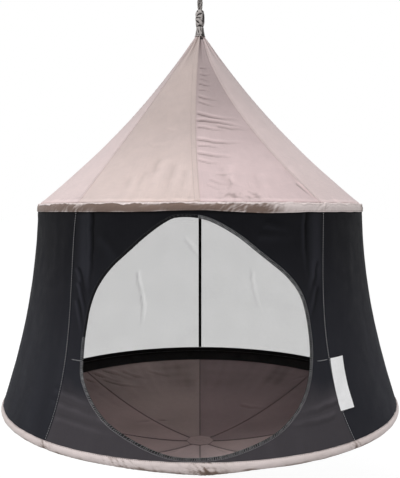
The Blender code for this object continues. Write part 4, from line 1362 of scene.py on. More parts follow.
        def crumple(turn: float, z: float) -> Pair:
            """The cuff's gathers, its hem and the pinch at its right, with painted shade in their hollows and on the
            cuff's right side.
            """
            drop = (NECK_TOP_Z - z) / span
            pleat = cos(radians(13 * turn) + 3 * ripple(0.016, turn, z, 0.02, 0.03, 7.0))
            soft = ripple(0.016, turn, z, 0.006, 0.012, 5.0)
            cut = bell((turn - 62) * 0.016 * pi / 180, 0.0016)
            pinch = bell((turn - 29) * 0.02 * pi / 180, 0.0036) * bell(z - NECK_FOOT_Z - 0.001, 0.006)
            hem = bell(z - NECK_FOOT_Z - 0.005, 0.0012)
            stand = (0.0008 * pleat + 0.001 * soft) * (0.5 + 0.5 * drop) - 0.0016 * cut - 0.0034 * pinch - 0.0006 * hem
            # Painted shade on the cuff's right side and in its folds, cut, pinch and hem.
            side = 0.4 * eased((turn - 12.0) / 30.0) * eased((100.0 - turn) / 20.0)
            dark = 0.28 * max(-pleat, 0.0) + 0.4 * max(-soft, 0.0) + cut + 1.4 * pinch + 0.55 * hem + side
            return stand, dark + 1.1 * self.slash(turn, z)

        self.tube("neck_cuff_cloth", profile, 44, 110, crumple, "neck_cuff")


@dataclass
class Roof:
    """The roof: eight sewn panels from the upper hoop to the neck."""

    finishes: Finishes
    surface: RoofSurface = field(default_factory=lambda: RoofSurface(ROOF_RUN, SEAMS, 11.0))
    columns: int = 72
    rows: int = 150
    band_width: float = 0.017
    lap_width: float = 0.009

    def build(self) -> None:
        """Builds the panels, the seam bands and their stitching."""
        finishes = self.finishes
        # The front-right panel takes the cloth whose ramp paints more shade towards the neck.
        cloths = {"front_left": finishes.roof_warm, "front_right": finishes.roof_mauve_shaded}
        for index, sector in enumerate(SECTORS):
            finish = cloths.get(sector, finishes.roof_pink)
            piece = sheet_object("roof_cloth_" + sector, self.surface.panel(index, self.columns, self.rows), finish)
            hand_over(piece, Body.CANOPY, ("roof_panel_" + sector,), ROOF_FOLDING)
            width, length, area = self.surface.panel_area(index)
        self.seams()

    def seams(self) -> None:
        """Builds the felled bands over the seams, and the stitches along them."""
        threads = Threads()
        for seam in SEAMS[1:]:
            middle = seam.angle == 0.0
            left = -self.band_width if middle else -self.lap_width
            grid = self.surface.strip(seam, 0.004, 0.985, left, 0.0012, 0.0001, 0.0009)
            name = "roof_seam_" + seam_name(seam)
            finish = self.finishes.roof_warm if middle else self.finishes.roof_pink
            piece = sheet_object(name, grid, finish)
            hand_over(piece, Body.CANOPY, (), ROOF_FOLDING)
            _, length, _ = self.surface.panel_area(0)
            for aside in (left + 0.0018, -0.001):
                threads.row(self.surface.seam_line(seam, 0.01, 0.97, aside, 0.0011), self.surface.way_out)
        hand_over(threads.piece("roof_stitching", self.finishes.beige_thread), Body.CANOPY, (), ROOF_FOLDING)


def seam_name(seam: Seam) -> str:
    """A seam's plain name."""
    names = {0: "front_middle", 180: "rear_middle"}
    turn = round(abs(seam.angle))
    if turn in names:
        return names[turn]
    place = {40: "front", 85: "side", 130: "rear"}[turn]
    return f"{place}_{'left' if seam.angle < 0 else 'right'}"


@dataclass
class Hoop:
    """A hoop of coated tube in its puckered cloth sleeve."""

    finishes: Finishes
    label: str
    radius: float
    z: float
    body: Body
    sections: int
    slot_angle: float
    columns: int
    seed: float
    sag: float
    pulled_at: tuple[Pair, ...]
    skirted: bool = False
    droop: float = 0.0
    section_steps: int = 40
    slot_length: float = 0.06
    least_face: float = 0.0141
    least_back: float = 0.0129

    def build(self) -> None:
        """Builds the sleeve and dresses the tubes and spigots inside it."""
        for number in range(1, self.sections + 1):
            dress_node(f"{self.label}_hoop_tube_{number}", self.finishes.tube)
            dress_node(f"{self.label}_hoop_spigot_{number}", self.finishes.spigot)
        self.sleeve()

    def girth(self, angle: float, turn: float) -> Pair:
        """How far the sleeve's outside stands from the hoop's middle.

        Args:
            angle: the place round the tent.
            turn: the place round its section, counted up from level outside.

        Returns:
            A radius, and how hollow the cloth is there, which paints its shade and highlight.
        """
        round_it = self.radius * radians(angle)

        def folds(pitch: float, climb: float, around_it: float, seed: float) -> float:
            """Noise over the sleeve, slanted by its climb."""
            return noise.noise(Vector((round_it / pitch + turn * climb, turn * around_it, self.seed + seed)))

        pulled = 0.0
        pinch = 0.0
        front = from_front(angle)
        for place, reach in self.pulled_at:
            away = (front - place) * radians(self.radius)
            pulled = max(pulled, bell(away, reach))
            pinch += bell(away, 0.008) if reach < 0.035 else 0.0
        pucker = folds(0.009, 1.3, 0.7, 0.0)
        deep = folds(0.04, -0.6, 0.5, 4.0)
        broad = folds(0.16, 0.0, 0.4, 8.0)
        between = abs(sin(radians(angle) * 180 / 44))
        under = max(0.0, -sin(turn))
        aside = front - 1.5
        kink = max(0.0, 1 - abs(aside) / (22.0 if aside < 0 else 10.0))
        hang = self.sag * between * under ** 2 + self.droop * kink * under ** 1.5
        near_pinch = pinch * bell(turn + 0.6, 1.1)
        crisp = (1 - abs(folds(0.02, 1.6, 0.8, 21.0))) ** 10 * pulled
        gather = 0.0005 + 0.0007 * pulled
        relief = gather * pucker + 0.0007 * deep + 0.0006 * broad - 0.001 * crisp
        if self.skirted:
            relief *= 0.15
        stand = relief + hang - 0.0032 * near_pinch
        # Painted shade in brown pockets low on the section, in pucker and fold valleys, on the underside, along the
        # kink's crease and at the pinches; painted highlight on pucker crests.
        pocket = eased((-0.15 + 0.5 * deep - turn) / 0.7) * (0.5 + 0.8 * folds(0.055, 0.4, 0.8, 12.0))
        hollow = max(pocket, 0.0) + 0.5 * max(-pucker, 0.0) * (0.4 + pulled) + 0.25 * max(-deep, 0.0) + 0.6 * crisp
        hollow -= 0.35 * max(pucker, 0.0) * pulled
        hollow += 0.8 * eased((-0.85 - turn) / 0.5) * eased((turn + 2.9) / 0.5)
        hollow += 0.8 * bell(aside * 0.0127 + 0.012 * (turn + 0.6), 0.004) * bell(turn + 0.5, 0.7)
        return SLEEVE_RADIUS + stand, hollow + 0.9 * near_pinch

    def sleeve(self) -> None:
        """Builds the sleeve."""
        slot = degrees(self.slot_length / 2 / self.radius)
        start, end = self.slot_angle + slot, self.slot_angle + 360.0 - slot
        rows = []
        steps = self.section_steps
        for r in range(self.columns + 1):
            angle = start + (end - start) * r / self.columns
            row = []
            for c in range(steps + 1):
                turn = 2 * pi * c / steps - pi
                stand, hollow = self.girth(angle, turn)
                seam = eased(abs(abs(turn) - pi) / 0.5)
                stand = SLEEVE_RADIUS + (stand - SLEEVE_RADIUS) * seam
                stand = max(stand, self.least_face)
                inner = max(stand - CLOTH, self.least_back)
                face = around(self.radius + stand * cos(turn), angle, self.z + stand * sin(turn))
                back = around(self.radius + inner * cos(turn), angle, self.z + inner * sin(turn))
                row.append(Knot(face, back, turn * SLEEVE_RADIUS, radians(angle - start) * self.radius,
                                min(max(hollow, -1.0), 1.4)))
            rows.append(row)
        piece = sheet_object(f"{self.label}_hoop_sleeve_cloth", rows, self.finishes.sleeve, ring=True)
        hand_over(piece, self.body, (f"{self.label}_hoop_sleeve",))
        if self.skirted:
            self.skirt(start, end)
        else:
            self.hem()

    def skirt_place(self, angle: float, down: float, lift: float) -> Vector:
        """A place on the sleeve's outer ply.

        Args:
            angle: the place round the tent.
            down: the share of the way down the ply.
            lift: how far out of the ply's plain run.

        Returns:
            The place.
        """
        bends = ((0.0078, 0.0128), (0.0175, 0.012), (0.0205, -0.003), (0.0172, -0.016))
        rest = 1 - down
        shares = (rest ** 3, 3 * rest ** 2 * down, 3 * rest * down ** 2, down ** 3)
        slopes = (-3 * rest ** 2, 3 * rest ** 2 - 6 * rest * down, 6 * rest * down - 3 * down ** 2, 3 * down ** 2)
        reach, rise = (sum(share * bend[i] for share, bend in zip(shares, bends)) for i in (0, 1))
        front = from_front(angle)
        rise += down ** 2 * (0.005 * bell(front + 2.0, 11.0) - 0.0034 * bell(front - 20.0, 9.0))
        rise += 0.0012 * down * noise.noise(Vector((radians(angle) * self.radius / 0.055, 1.0, self.seed)))
        run, fall = (sum(slope * bend[i] for slope, bend in zip(slopes, bends)) for i in (0, 1))
        length = hypot(run, fall)
        return around(self.radius + reach - lift * fall / length, angle, self.z + rise + lift * run / length)

    def skirt_relief(self, angle: float, down: float) -> Pair:
        """How far the outer ply stands out, and how hollow it is there, which paints its shade and highlight."""
        round_it = self.radius * radians(angle)

        def folds(pitch: float, climb: float, seed: float) -> float:
            """Noise over the ply, slanted by its climb."""
            return noise.noise(Vector((round_it / pitch + down * climb, down * 1.6, self.seed + seed)))

        front = from_front(angle)
        pulled = max(bell((front - place) * radians(self.radius), reach) for place, reach in self.pulled_at)
        pucker = folds(0.0085, 2.6, 0.0)
        fine = folds(0.005, 3.4, 1.0)
        deep = folds(0.034, -1.4, 4.0)
        crisp = (1 - abs(folds(0.022, 3.0, 21.0))) ** 9
        ridge_at = 0.21 + 0.16 * folds(0.05, 0.0, 2.0) + 0.13 * folds(0.014, 0.0, 2.5)
        ridge = bell(down - ridge_at, 0.1)
        groove = bell(down - ridge_at - 0.2, 0.09)
        held = eased(down / 0.12) * (0.5 + 0.5 * eased((1 - down) / 0.12))
        stand = 0.003 * ridge * (0.75 + 0.6 * deep) - 0.001 * groove + 0.0007 * deep
        stand += (0.0006 + 0.0014 * pulled) * pucker + 0.0007 * fine - (0.0004 + 0.001 * pulled) * crisp
        stand += 0.0006 * bell(down - 0.95, 0.05)
        # Painted shade in brown pockets under the ridge, less to the front right, which is painted lighter; painted
        # highlight on the ridge, along the hem's edge and on pucker crests.
        pocket = eased((down - ridge_at - 0.03) / 0.11) * (1.1 + 0.6 * folds(0.055, 0.6, 12.0) - 0.42 * pulled)
        right = eased((front - 16.0) / 14.0) * eased((75.0 - front) / 12.0)
        pocket *= 1.0 - 0.62 * right
        hollow = max(pocket, 0.0) - 0.75 * ridge * (0.7 + 1.7 * fine) - 0.45 * bell(down - 0.965, 0.035) - 0.45 * right
        hollow += (0.1 + 0.5 * pulled) * (0.9 * max(-pucker, 0.0) - 1.0 * max(pucker, 0.0)) + 0.6 * crisp * pulled
        return max(stand, -0.0008) * held, hollow

    def skirt(self, start: float, end: float) -> None:
        """Builds the sleeve's outer ply, whose hem lies over the wall's top edge.

        Args:
            start: the angle where the sleeve starts.
            end: the angle where it ends.
        """
        rows, line = [], []
        columns, steps, length = 1500, 26, 0.036
        for r in range(columns + 1):
            angle = start + (end - start) * r / columns
            row = []
            for c in range(steps + 1):
                down = c / steps
                stand, hollow = self.skirt_relief(angle, down)
                face, back = (self.skirt_place(angle, down, lift) for lift in (stand, stand - CLOTH))
                row.append(Knot(face, back, down * length, radians(angle - start) * self.radius,
                                min(max(hollow, -1.0), 1.0)))
            rows.append(row)
            line.append(self.skirt_place(angle, 0.9, self.skirt_relief(angle, 0.9)[0] + 0.0002))
        piece = sheet_object(f"{self.label}_hoop_sleeve_hem", rows, self.finishes.sleeve)
        hand_over(piece, self.body)
        threads = Threads(0.0005, 0.0038, 0.0062)
        threads.row(line, lambda place: around(1.0, self.bearing(place), 0.0))
        hand_over(threads.piece(f"{self.label}_hoop_stitching", self.finishes.hem_thread), self.body)

    def hem(self) -> None:
        """Builds the stitches that hold the wall in the sleeve."""
        threads = Threads(0.0005, 0.0038, 0.0062)
        line, turn = [], 0.98
        for i in range(1441):
            angle = self.slot_angle + 6.0 + 348.0 * i / 1440
            stand = max(self.girth(angle, turn)[0], self.least_face) + 0.0002
            line.append(around(self.radius + stand * cos(turn), angle, self.z + stand * sin(turn)))
        threads.row(line, lambda place: around(cos(turn), self.bearing(place), sin(turn)))
        hand_over(threads.piece(f"{self.label}_hoop_stitching", self.finishes.hem_thread), self.body)

    @staticmethod
    def bearing(place: Vector) -> float:
        """A place's angle round the tent, in degrees."""
        return degrees(atan2(place.x, -place.y))


@dataclass
class Wall:
    """The wall: the door panel, four side panels, two net windows, tapes, binding and label."""

    DOOR_BENDS = (
        (1.0, 0.03), (0.95, 0.37), (0.807, 0.563), (0.53, 0.748), (0.315, 0.878), (0.06, 0.98), (-0.16, 1.0),
        (-0.3, 0.96), (-0.531, 0.813), (-0.811, 0.585), (-0.95, 0.34), (-1.0, -0.02), (-0.957, -0.346),
        (-0.743, -0.7), (-0.311, -0.965), (0.05, -1.0), (0.374, -0.925), (0.7, -0.745), (0.924, -0.418),
    )

    finishes: Finishes
    surface: WallSurface = field(default_factory=lambda: WallSurface(
        WALL_RUN, tuple(seam for seam in SEAMS if seam.angle != 0.0), 23.0))
    columns: int = 96
    rows: int = 120
    door_centre_z: float = UPPER_HOOP_Z - 0.46
    door_rise: float = 0.434
    door_fall: float = 0.246
    door_left: float = 0.36
    door_right: float = 0.337
    middle_radius: float = 0.68
    binding_radius: float = 0.003
    tag_width: float = 0.06
    tag_length: float = 0.155
    tag_foot: float = 0.1047

    def build(self) -> None:
        """Builds every piece of the wall."""
        self.panels()
        self.door_panel()
        self.binding()
        self.tapes()
        self.label()
        self.stitching()

    def give(self, piece: Piece, stands_for: tuple[str, ...] = ()) -> None:
        """Hands a piece of the wall to the frame."""
        hand_over(piece, Body.UPPER, stands_for, WALL_FOLDING)

    def panels(self) -> None:
        """Builds the four closed side panels, then the two net windows at the rear."""
        sides = {1: "side_rear_left", 2: "side_front_left", 4: "side_front_right", 5: "side_rear_right",
                 0: "left", 6: "right"}
        for index, side in sides.items():
            if side in ("left", "right"):
                grid = self.surface.panel(index, 64, 80, 0.0008)
                piece = sheet_object("window_net_" + side, grid, self.finishes.net)
                self.give(piece, ("rear_window_" + side,))
            else:
                grid = self.surface.panel(index, self.columns, self.rows)
                piece = sheet_object("wall_cloth_" + side, grid, self.finishes.wall)
                self.give(piece, ("wall_panel_" + side,))
            width, length, area = self.surface.panel_area(index)

    def door_point(self, share: float, inset: float = 0.0) -> Pair:
        """A point of the doorway's outline, seen from the front.

        Args:
            share: how far round, from 0 to 1, anticlockwise from its rightmost place.
            inset: how far inside the outline.

        Returns:
            The distance right of the tent's axis, and the height.
        """
        def plain(at: float) -> Vector:
            """A point of the outline itself."""
            number, part = divmod(at * len(self.DOOR_BENDS), 1)
            ends = []
            for step in (-1, 0, 1, 2):
                across, up = self.DOOR_BENDS[(int(number) + step) % len(self.DOOR_BENDS)]
                half = self.door_right if across > 0 else self.door_left
                ends.append(Vector((across * half, up * (self.door_rise if up > 0 else self.door_fall))))
            before, start, end, after = ends
            bow_in = 2 * before - 5 * start + 4 * end - after
            bow_out = 3 * start - before - 3 * end + after
            return start + (part * (end - before) + part ** 2 * bow_in + part ** 3 * bow_out) / 2

        place = plain(share)
        if inset:
            run = (plain(share + 0.002) - plain(share - 0.002)).normalized()
            place += Vector((-run.y, run.x)) * inset
        return place.x, self.door_centre_z + place.y

    def spot(self, x: float, z: float) -> Pair:
        """The (angle, share along) of the wall's place at an (x, height) seen from the front."""
        along = self.surface.run.share(z)
        angle = 0.0
        for _ in range(8):
            place = self.surface.at(angle, along, 0.0, 0.0)
            radius = hypot(place.x, place.y)
            angle = degrees(asin(max(min(x / radius, 1.0), -1.0)))
        return angle, along

    def rim(self, share: float, inset: float, lift: float) -> Vector:
        """A place on the wall's outside by the doorway's edge."""
        angle, along = self.spot(*self.door_point(share % 1.0, inset))
        return self.surface.at(angle, along, lift)

    def door_panel(self) -> None:
        """Builds the front panel as a frame of cloth round the doorway."""
        index, rim_steps, depth = 3, 720, 36
        width, length, area = self.surface.panel_area(index)
        middle = self.surface.run.share(self.door_centre_z)
        edge = [self.spot(*self.door_point(i / rim_steps)) for i in range(rim_steps)]

        def flat(angle: float, along: float) -> Pair:
            """A place's way from the doorway's middle, in metres."""
            return radians(angle) * self.middle_radius, (middle - along) * length

        def heading(angle: float, along: float) -> float:
            """A place's direction from the doorway's middle, from 0 to a full turn."""
            across, up = flat(angle, along)
            return atan2(up, across) % (2 * pi)

        rim = sorted((heading(*place), place) for place in edge)
        headings = [turn for turn, _ in rim]

        def edge_at(turn: float) -> Pair:
            """The doorway's edge in a direction from its middle."""
            k = bisect_left(headings, turn) % rim_steps
            (before, near), (after, far) = rim[k - 1], rim[k]
            share = ((turn - before) % (2 * pi)) / max((after - before) % (2 * pi), 1e-9)
            return near[0] + (far[0] - near[0]) * share, near[1] + (far[1] - near[1]) * share

        def side_point(side: int, share: float) -> Pair:
            """A point of the panel's own edge; sides run anticlockwise from the foot."""
            along = (1.0, 1 - share, 0.0, share)[side]
            start, end = self.surface.ends(index, along)
            return start + (end - start) * (share, 1.0, 1 - share, 0.0)[side], along

        border = [side_point(side, i / steps) for side, steps in enumerate((200, 150, 180, 150)) for i in range(steps)]
        rows = []
        for q in range(depth + 1):
            share = (q / depth) ** 1.15
            row = []
            for angle, along in (*border, border[0]):
                near = edge_at(heading(angle, along))
                row.append(self.surface.knot(near[0] + (angle - near[0]) * share, near[1] + (along - near[1]) * share))
            rows.append(row)
        # The door panel takes the cloth painted paler low down, as glow.
        piece = sheet_object("wall_cloth_front", rows, self.finishes.wall_front, ring=True)
        self.give(piece, ("door_panel",))
        for before, after in zip(edge, edge[1:] + edge[:1]):
            near, far = flat(*before), flat(*after)

    def binding(self) -> None:
        """Builds the rolled tape round the doorway."""
        steps, sides = 520, 12
        centres = [self.rim(i / steps, self.binding_radius, -CLOTH / 2) for i in range(steps)]
        rows, gone = [], 0.0
        for i in range(steps + 1):
            centre, after = centres[i % steps], centres[(i + 1) % steps]
            run = (after - centres[(i - 1) % steps]).normalized()
            up = self.surface.way_out(centre)
            aside = run.cross(up).normalized()
            up = aside.cross(run)
            row = []
            for c in range(sides + 1):
                turn = 2 * pi * c / sides
                pinch = 1.0 + 0.1 * sin(gone * 2 * pi / 0.012 + 2 * sin(turn))
                radius = self.binding_radius * 0.93 * pinch
                spoke = aside * (1.08 * cos(turn)) + up * (0.82 * sin(turn))
                row.append(Knot(centre + spoke * radius, centre + spoke * (radius * 0.55), turn * 0.003, gone))
            rows.append(row)
            gone += (after - centre).length
        piece = loop_object("door_edge_tape", rows, self.finishes.webbing)
        self.give(piece, ("door_binding",))

    def tapes(self) -> None:
        """Builds the webbing inside each seam and the lapped edge outside it."""
        run = self.surface.run
        top, foot = run.share(UPPER_HOOP_Z - 0.022), run.share(LOWER_HOOP_Z + 0.02)
        for seam in self.surface.seams[1:]:
            name = "rear_centre" if seam.angle == 180.0 else seam_name(seam)
            grid = self.surface.strip(seam, top, foot, -0.007, 0.007, -CLOTH - 0.0007 - 0.0015, 0.0015, 90, True)
            piece = sheet_object("seam_webbing_" + name, grid, self.finishes.webbing)
            self.give(piece, ("wall_strap_" + name,))
            _, length, _ = self.surface.panel_area(0)
            finish = self.finishes.webbing if seam.angle == 180.0 else self.finishes.wall
            half = 0.0065 if seam.angle == 180.0 else 0.0035
            lap = sheet_object("wall_lap_" + name, self.surface.strip(
                seam, 0.006, 0.992, -half, half, 0.0001, 0.0007, 140), finish)
            self.give(lap)

    def label(self) -> None:
        """Builds the blank tag sewn into the seam right of the doorway."""
        seam, run = self.surface.seams[4], self.surface.run
        top = LOWER_HOOP_Z + self.tag_foot + self.tag_length
        rows = []
        for r in range(41):
            down = r / 40
            along = run.share(top - self.tag_length * down)
            radius = run.radius(along)
            row = []
            for c in range(19):
                share = c / 18
                aside = 0.004 + self.tag_width * share
                angle = self.surface.seam_angle(seam, along) + degrees((aside - 0.012 * down) / radius)
                curl = 0.003 * eased((share - 0.6) / 0.4) * eased((down - 0.55) / 0.45)
                wave = 0.0006 * sin(7 * down + 3 * share)
                lift = 0.0012 + 0.0006 * eased(share * 6) + curl + wave * eased(share * 3)
                # Painted shade in the troughs of the tag's ripples.
                row.append(Knot(self.surface.at(angle, along, lift + 0.0008), self.surface.at(angle, along, lift),
                                aside, self.tag_length * down, max(0.0, -wave / 0.0006) * 0.5))
            rows.append(row)
        piece = sheet_object("blank_side_tag", rows, self.finishes.label)
        self.give(piece, ("side_label",))

    def stitching(self) -> None:
        """Builds the pale stitching on the wall's seams, round the doorway and on the tag."""
        threads, hidden = Threads(0.0009, 0.0046, 0.0076), Threads(0.0007, 0.004, 0.0056)
        fine = Threads(0.0006, 0.0036, 0.0056)
        surface = self.surface
        for seam in surface.seams[1:-1]:
            threads.row(surface.seam_line(seam, 0.004, 1.0, -0.0008, 0.0008), surface.way_out)
        for first, last in ((-35.6, -32.6), (31.8, 35.2)):
            line = []
            for i in range(61):
                along = surface.run.share(UPPER_HOOP_Z - 0.468 + 0.0012 * (i % 2 * 2 - 1))
                line.append(surface.at(first + (last - first) * i / 60, along, 0.0004))
            fine.row(line, surface.way_out)
        for kind, first, last in ((fine, 0.555, 1.28), (hidden, 0.28, 0.555)):
            kind.row([self.rim(first + (last - first) * i / 700, -0.003, 0.0003) for i in range(701)], surface.way_out)
        for i in range(330):
            share = 0.555 + 0.725 * i / 330 + 0.0006 * sin(5.3 * i)
            slip = 0.001 + 0.0008 * noise.noise(Vector((i * 0.37, 3.0, 9.0)))
            whip = [self.rim(share + offset, inset, lift) for offset, inset, lift in (
                (0.0, -0.0012, 0.0005), (slip / 2, 0.003, 0.0027), (slip, 0.0062, 0.0002))]
            for near, far in zip(whip, whip[1:]):
                fine.stitch(near, far, surface.way_out(near))
        self.give(hidden.piece("door_stitching", self.finishes.black_thread))
        self.give(fine.piece("door_pale_stitching", self.finishes.pale_thread))
        self.give(threads.piece("wall_stitching", self.finishes.pale_thread))


@dataclass
class Floor:
    """The floor: the dark band inside the lower hoop, eight panels and the patch where they meet."""

    FOLDS = creases(
        (-500, 445, 170, -10, 5, 6, 8), (-455, 490, 150, -25, 4.5, 5.5, -6), (-440, 415, 180, 10, 4.5, 6, 8),
        (-370, 520, 130, -20, 4, 5.5, 5), (-520, 380, 120, -20, 3.5, 5.5, -5), (-250, 560, 110, -10, 3, 6, 4),
        (510, 420, -110, 0, 2.8, 6, 5), (180, 300, 120, -70, 2.6, 7, 8), (-150, 180, -120, -60, 2.4, 7, 8),
        (60, -90, 60, -110, 2.4, 6, 6), (-80, -100, -50, -100, 2.4, 6, -6), (120, -200, 120, 30, 2.2, 6, 6),
    )

    finishes: Finishes
    edge_radius: float = 0.6897
    edge_z: float = -1.6612
    sag: float = 0.167
    shape: float = 1.8
    eye_radius: float = 0.018
    patch_radius: float = 0.055
    band_radius: float = 0.7213
    band_rise: float = 0.022
    band_bend: float = 0.006
    band_drop: float = 0.031
    band_reach: float = 0.031
    band_dip: float = 0.011
    band_hem: float = 0.008

    def build(self) -> None:
        """Builds every piece of the floor."""
        self.band()
        self.panels()
        self.seams()
        self.patch()

    def height(self, radius: float) -> float:
        """The floor's height at a radius."""
        return self.edge_z - self.sag * (1 - (max(radius, 0.0) / self.edge_radius) ** self.shape)

    def stand(self, radius: float, angle: float, edge: float) -> float:
        """How far the floor's cloth stands off its plain bowl."""
        place = around(radius, angle, 0.0)
        broad = noise.noise(Vector((place.x / 0.2, place.y / 0.2, 31.0)))
        ring = noise.noise(Vector((radius / 0.035, angle / 38.0, 33.0)))
        spoke = noise.noise(Vector((radius / 0.22, radians(angle) * 0.7 / 0.045, 35.0)))
        outer = eased((radius - 0.35) / 0.3)
        stand = 0.003 * broad + 0.0016 * ring * outer + 0.0022 * spoke * outer
        stand += sum(mark.drop(place.x, place.y) for mark in self.FOLDS)
        return stand * eased(edge / 0.03) * eased((self.edge_radius - radius) / 0.02) * eased((radius - 0.05) / 0.05)

    def at(self, radius: float, angle: float, lift: float, stand: float) -> Vector:
        """A place on the floor's upper side."""
        step = 0.004
        rise = (self.height(radius + step) - self.height(radius - step)) / (2 * step)
        length = hypot(1.0, rise)
        over = CLOTH + lift + stand
        return around(radius - over * rise / length, angle, self.height(radius) + over / length)

    def knot(self, radius: float, angle: float, edge: float) -> Knot:
        """A grid point on the floor, with painted shade in its folds and painted highlight on their ridges."""
        stand = self.stand(radius, angle, edge)
        return Knot(self.at(radius, angle, 0.0, stand), self.at(radius, angle, -CLOTH, stand),
                    radians(angle) * 0.5, radius, min(max(-stand / 0.0045, -0.6), 1.0))

    def panels(self) -> None:
        """Builds the eight panels."""
        columns, rows = 64, 110
        left_side, right_side = self.finishes.floor_rear_left_shaded, self.finishes.floor_rear_right_shaded
        front, side = self.finishes.floor_front_lit, self.finishes.floor_side_half_lit
        # Lit and shaded copies of one cloth: painted light at the front, painted shade at the rear.
        cloths = (left_side, side, side, front, front, side, right_side, right_side)
        for index, (sector, cloth) in enumerate(zip(SECTORS, cloths)):
            left, right = SEAMS[index].angle, SEAMS[index + 1].angle
            grid = []
            for r in range(rows + 1):
                radius = self.edge_radius + (self.eye_radius - self.edge_radius) * r / rows
                margin = degrees(SEAM_GAP / 2 / radius)
                start, end = left + margin, right - margin
                angles = [start + (end - start) * c / columns for c in range(columns + 1)]
                grid.append([self.knot(radius, angle, min(angle - left, right - angle) * radians(radius))
                             for angle in angles])
            piece = sheet_object("floor_cloth_" + sector, grid, cloth)
            hand_over(piece, Body.LOWER, ("floor_panel_" + sector,))

    def seams(self) -> None:
        """Builds the tapes over the seams and the stitches along them."""
        threads = Threads(0.0006, 0.004, 0.0052)
        steps, half = 140, 0.003
        for seam in SEAMS[1:]:
            grid, sewn = [], ([], [])
            for r in range(steps + 1):
                radius = self.edge_radius - 0.002 + (self.eye_radius + 0.012 - self.edge_radius) * r / steps
                row = []
                for c in range(7):
                    aside = half * (c / 3 - 1)
                    angle = seam.angle + degrees(aside / radius)
                    edge = bell(min(c, 6 - c) / 6, 0.08)
                    # Painted shade along the tape's edges, where it meets the floor.
                    row.append(Knot(self.at(radius, angle, 0.0009 - 0.0004 * edge, 0.0),
                                    self.at(radius, angle, 0.0001, 0.0), aside, radius, 1.3 * edge))
                grid.append(row)
                for line, aside in zip(sewn, (-0.0022, 0.0022)):
                    line.append(self.at(radius, seam.angle + degrees(aside / radius), 0.001, 0.0))
            # The tapes take the half-lit copy of the cloth at the front and the shaded copy at the rear.
            finish = self.finishes.floor_side_half_lit if abs(seam.angle) < 60 else self.finishes.floor_rear_right_shaded
            piece = sheet_object("floor_seam_" + seam_name(seam), grid, finish)
            hand_over(piece, Body.LOWER)
            for line in sewn:
                threads.row(line, lambda place: Vector((0, 0, 1)))
        hand_over(threads.piece("floor_stitching", self.finishes.dark_thread), Body.LOWER)

    def patch(self) -> None:
        """Builds the eight-sided patch at the middle."""
        rows = []
        for r in range(15):
            share = 0.03 + 0.97 * r / 14
            row = []
            for c in range(97):
                angle = 360.0 * c / 96
                turn = radians(angle)
                corner = cos(radians(22.5)) / cos(radians((angle % 45.0) - 22.5))
                radius = self.patch_radius * corner * share
                lift = 0.002 - 0.0003 * bell(share - 1.0, 0.05) + 0.0003 * sin(9 * share + 3 * turn)
                # Painted shade round the patch's rim.
                row.append(Knot(self.at(radius, angle, lift, 0.0), self.at(radius, angle, 0.0011, 0.0),
                                radius * sin(turn), radius * cos(turn), 1.3 * bell(share - 1.0, 0.03)))
            rows.append(row)
        piece = sheet_object("floor_middle_patch", rows, self.finishes.floor_side_half_lit, ring=True)
        hand_over(piece, Body.LOWER, ("floor_centre_patch",))

    def band_place(self, gone: float, angle: float, lift: float) -> Vector:
        """A place on the band.

        Args:
            gone: the distance down its cloth.
            angle: the place round the tent.
            lift: how far inwards of its outer side.

        Returns:
            The place.
        """
        dip = self.band_dip * bell(from_front(angle), 12.0)
        upright = self.band_rise + self.band_bend
        fall = self.band_drop - self.band_bend
        slant = atan2(self.band_reach, fall)
        below = gone - upright
        reach = hypot(self.band_reach, fall)
        turned = slant * eased((below + 0.004) / 0.008)
        down = min(max(below, 0.0), reach)
        radius = self.band_radius - down * sin(slant)
        rim = self.band_rise - dip * max(-below, 0.0) / upright - min(gone, upright)
        z = LOWER_HOOP_Z + rim - down * cos(slant)
        hem = max(below - reach, 0.0)
        if hem > 0.0:
            settled = eased(hem / 0.003)
            slope = atan2(self.sag * self.shape, self.edge_radius)
            radius -= hem * cos(slope)
            z -= hem * sin(slope) - 0.0016 * settled
            turned = pi / 2 - slope
        return around(radius - lift * cos(turned), angle, z + lift * sin(turned))

    def band(self) -> None:
        """Builds the dark band between the lower hoop and the floor."""
        width = self.band_rise + self.band_bend + hypot(self.band_reach, self.band_drop - self.band_bend)
        width += self.band_hem
        rows = []
        columns, steps = 720, 30
        for c in range(steps + 1):
            gone = width * (1 - c / steps)
            slack = eased((gone - 0.028) / 0.015) * eased((width - self.band_hem - gone) / 0.012)
            row = []
            for r in range(columns + 1):
                angle = 360.0 * (r % columns) / columns - 180.0
                wave = ripple(0.72, angle, gone, 0.03, 0.03, 41.0) * eased((180.0 - abs(angle)) / 4.0)
                stand = 0.0002 + 0.0006 * eased(1 - gone / 0.05) + 0.0012 * max(wave, -0.5) * slack
                # Painted shade in the troughs of the band's ripples.
                row.append(Knot(self.band_place(gone, angle, stand + CLOTH), self.band_place(gone, angle, stand),
                                gone, radians(360.0 * r / columns) * 0.72, max(0.0, -wave)))
            rows.append(row)
        line = [self.band_place(0.018, 360.0 * r / columns - 180.0, CLOTH + 0.001) for r in range(columns + 1)]
        piece = sheet_object("floor_edge_cloth", rows, self.finishes.band, ring=True)
        hand_over(piece, Body.LOWER, ("floor_edge_band",))
        self.sink(piece)
        threads = Threads(0.0006, 0.004, 0.0056)
        threads.row(line, lambda place: -Vector((place.x, place.y, 0.0)).normalized())
        piece = threads.piece("band_stitching", self.finishes.grey_thread)
        hand_over(piece, Body.LOWER)
        self.sink(piece)

    def sink(self, piece: Piece) -> None:
        """Gives a piece of the band its own copy of its mesh."""
        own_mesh(piece)


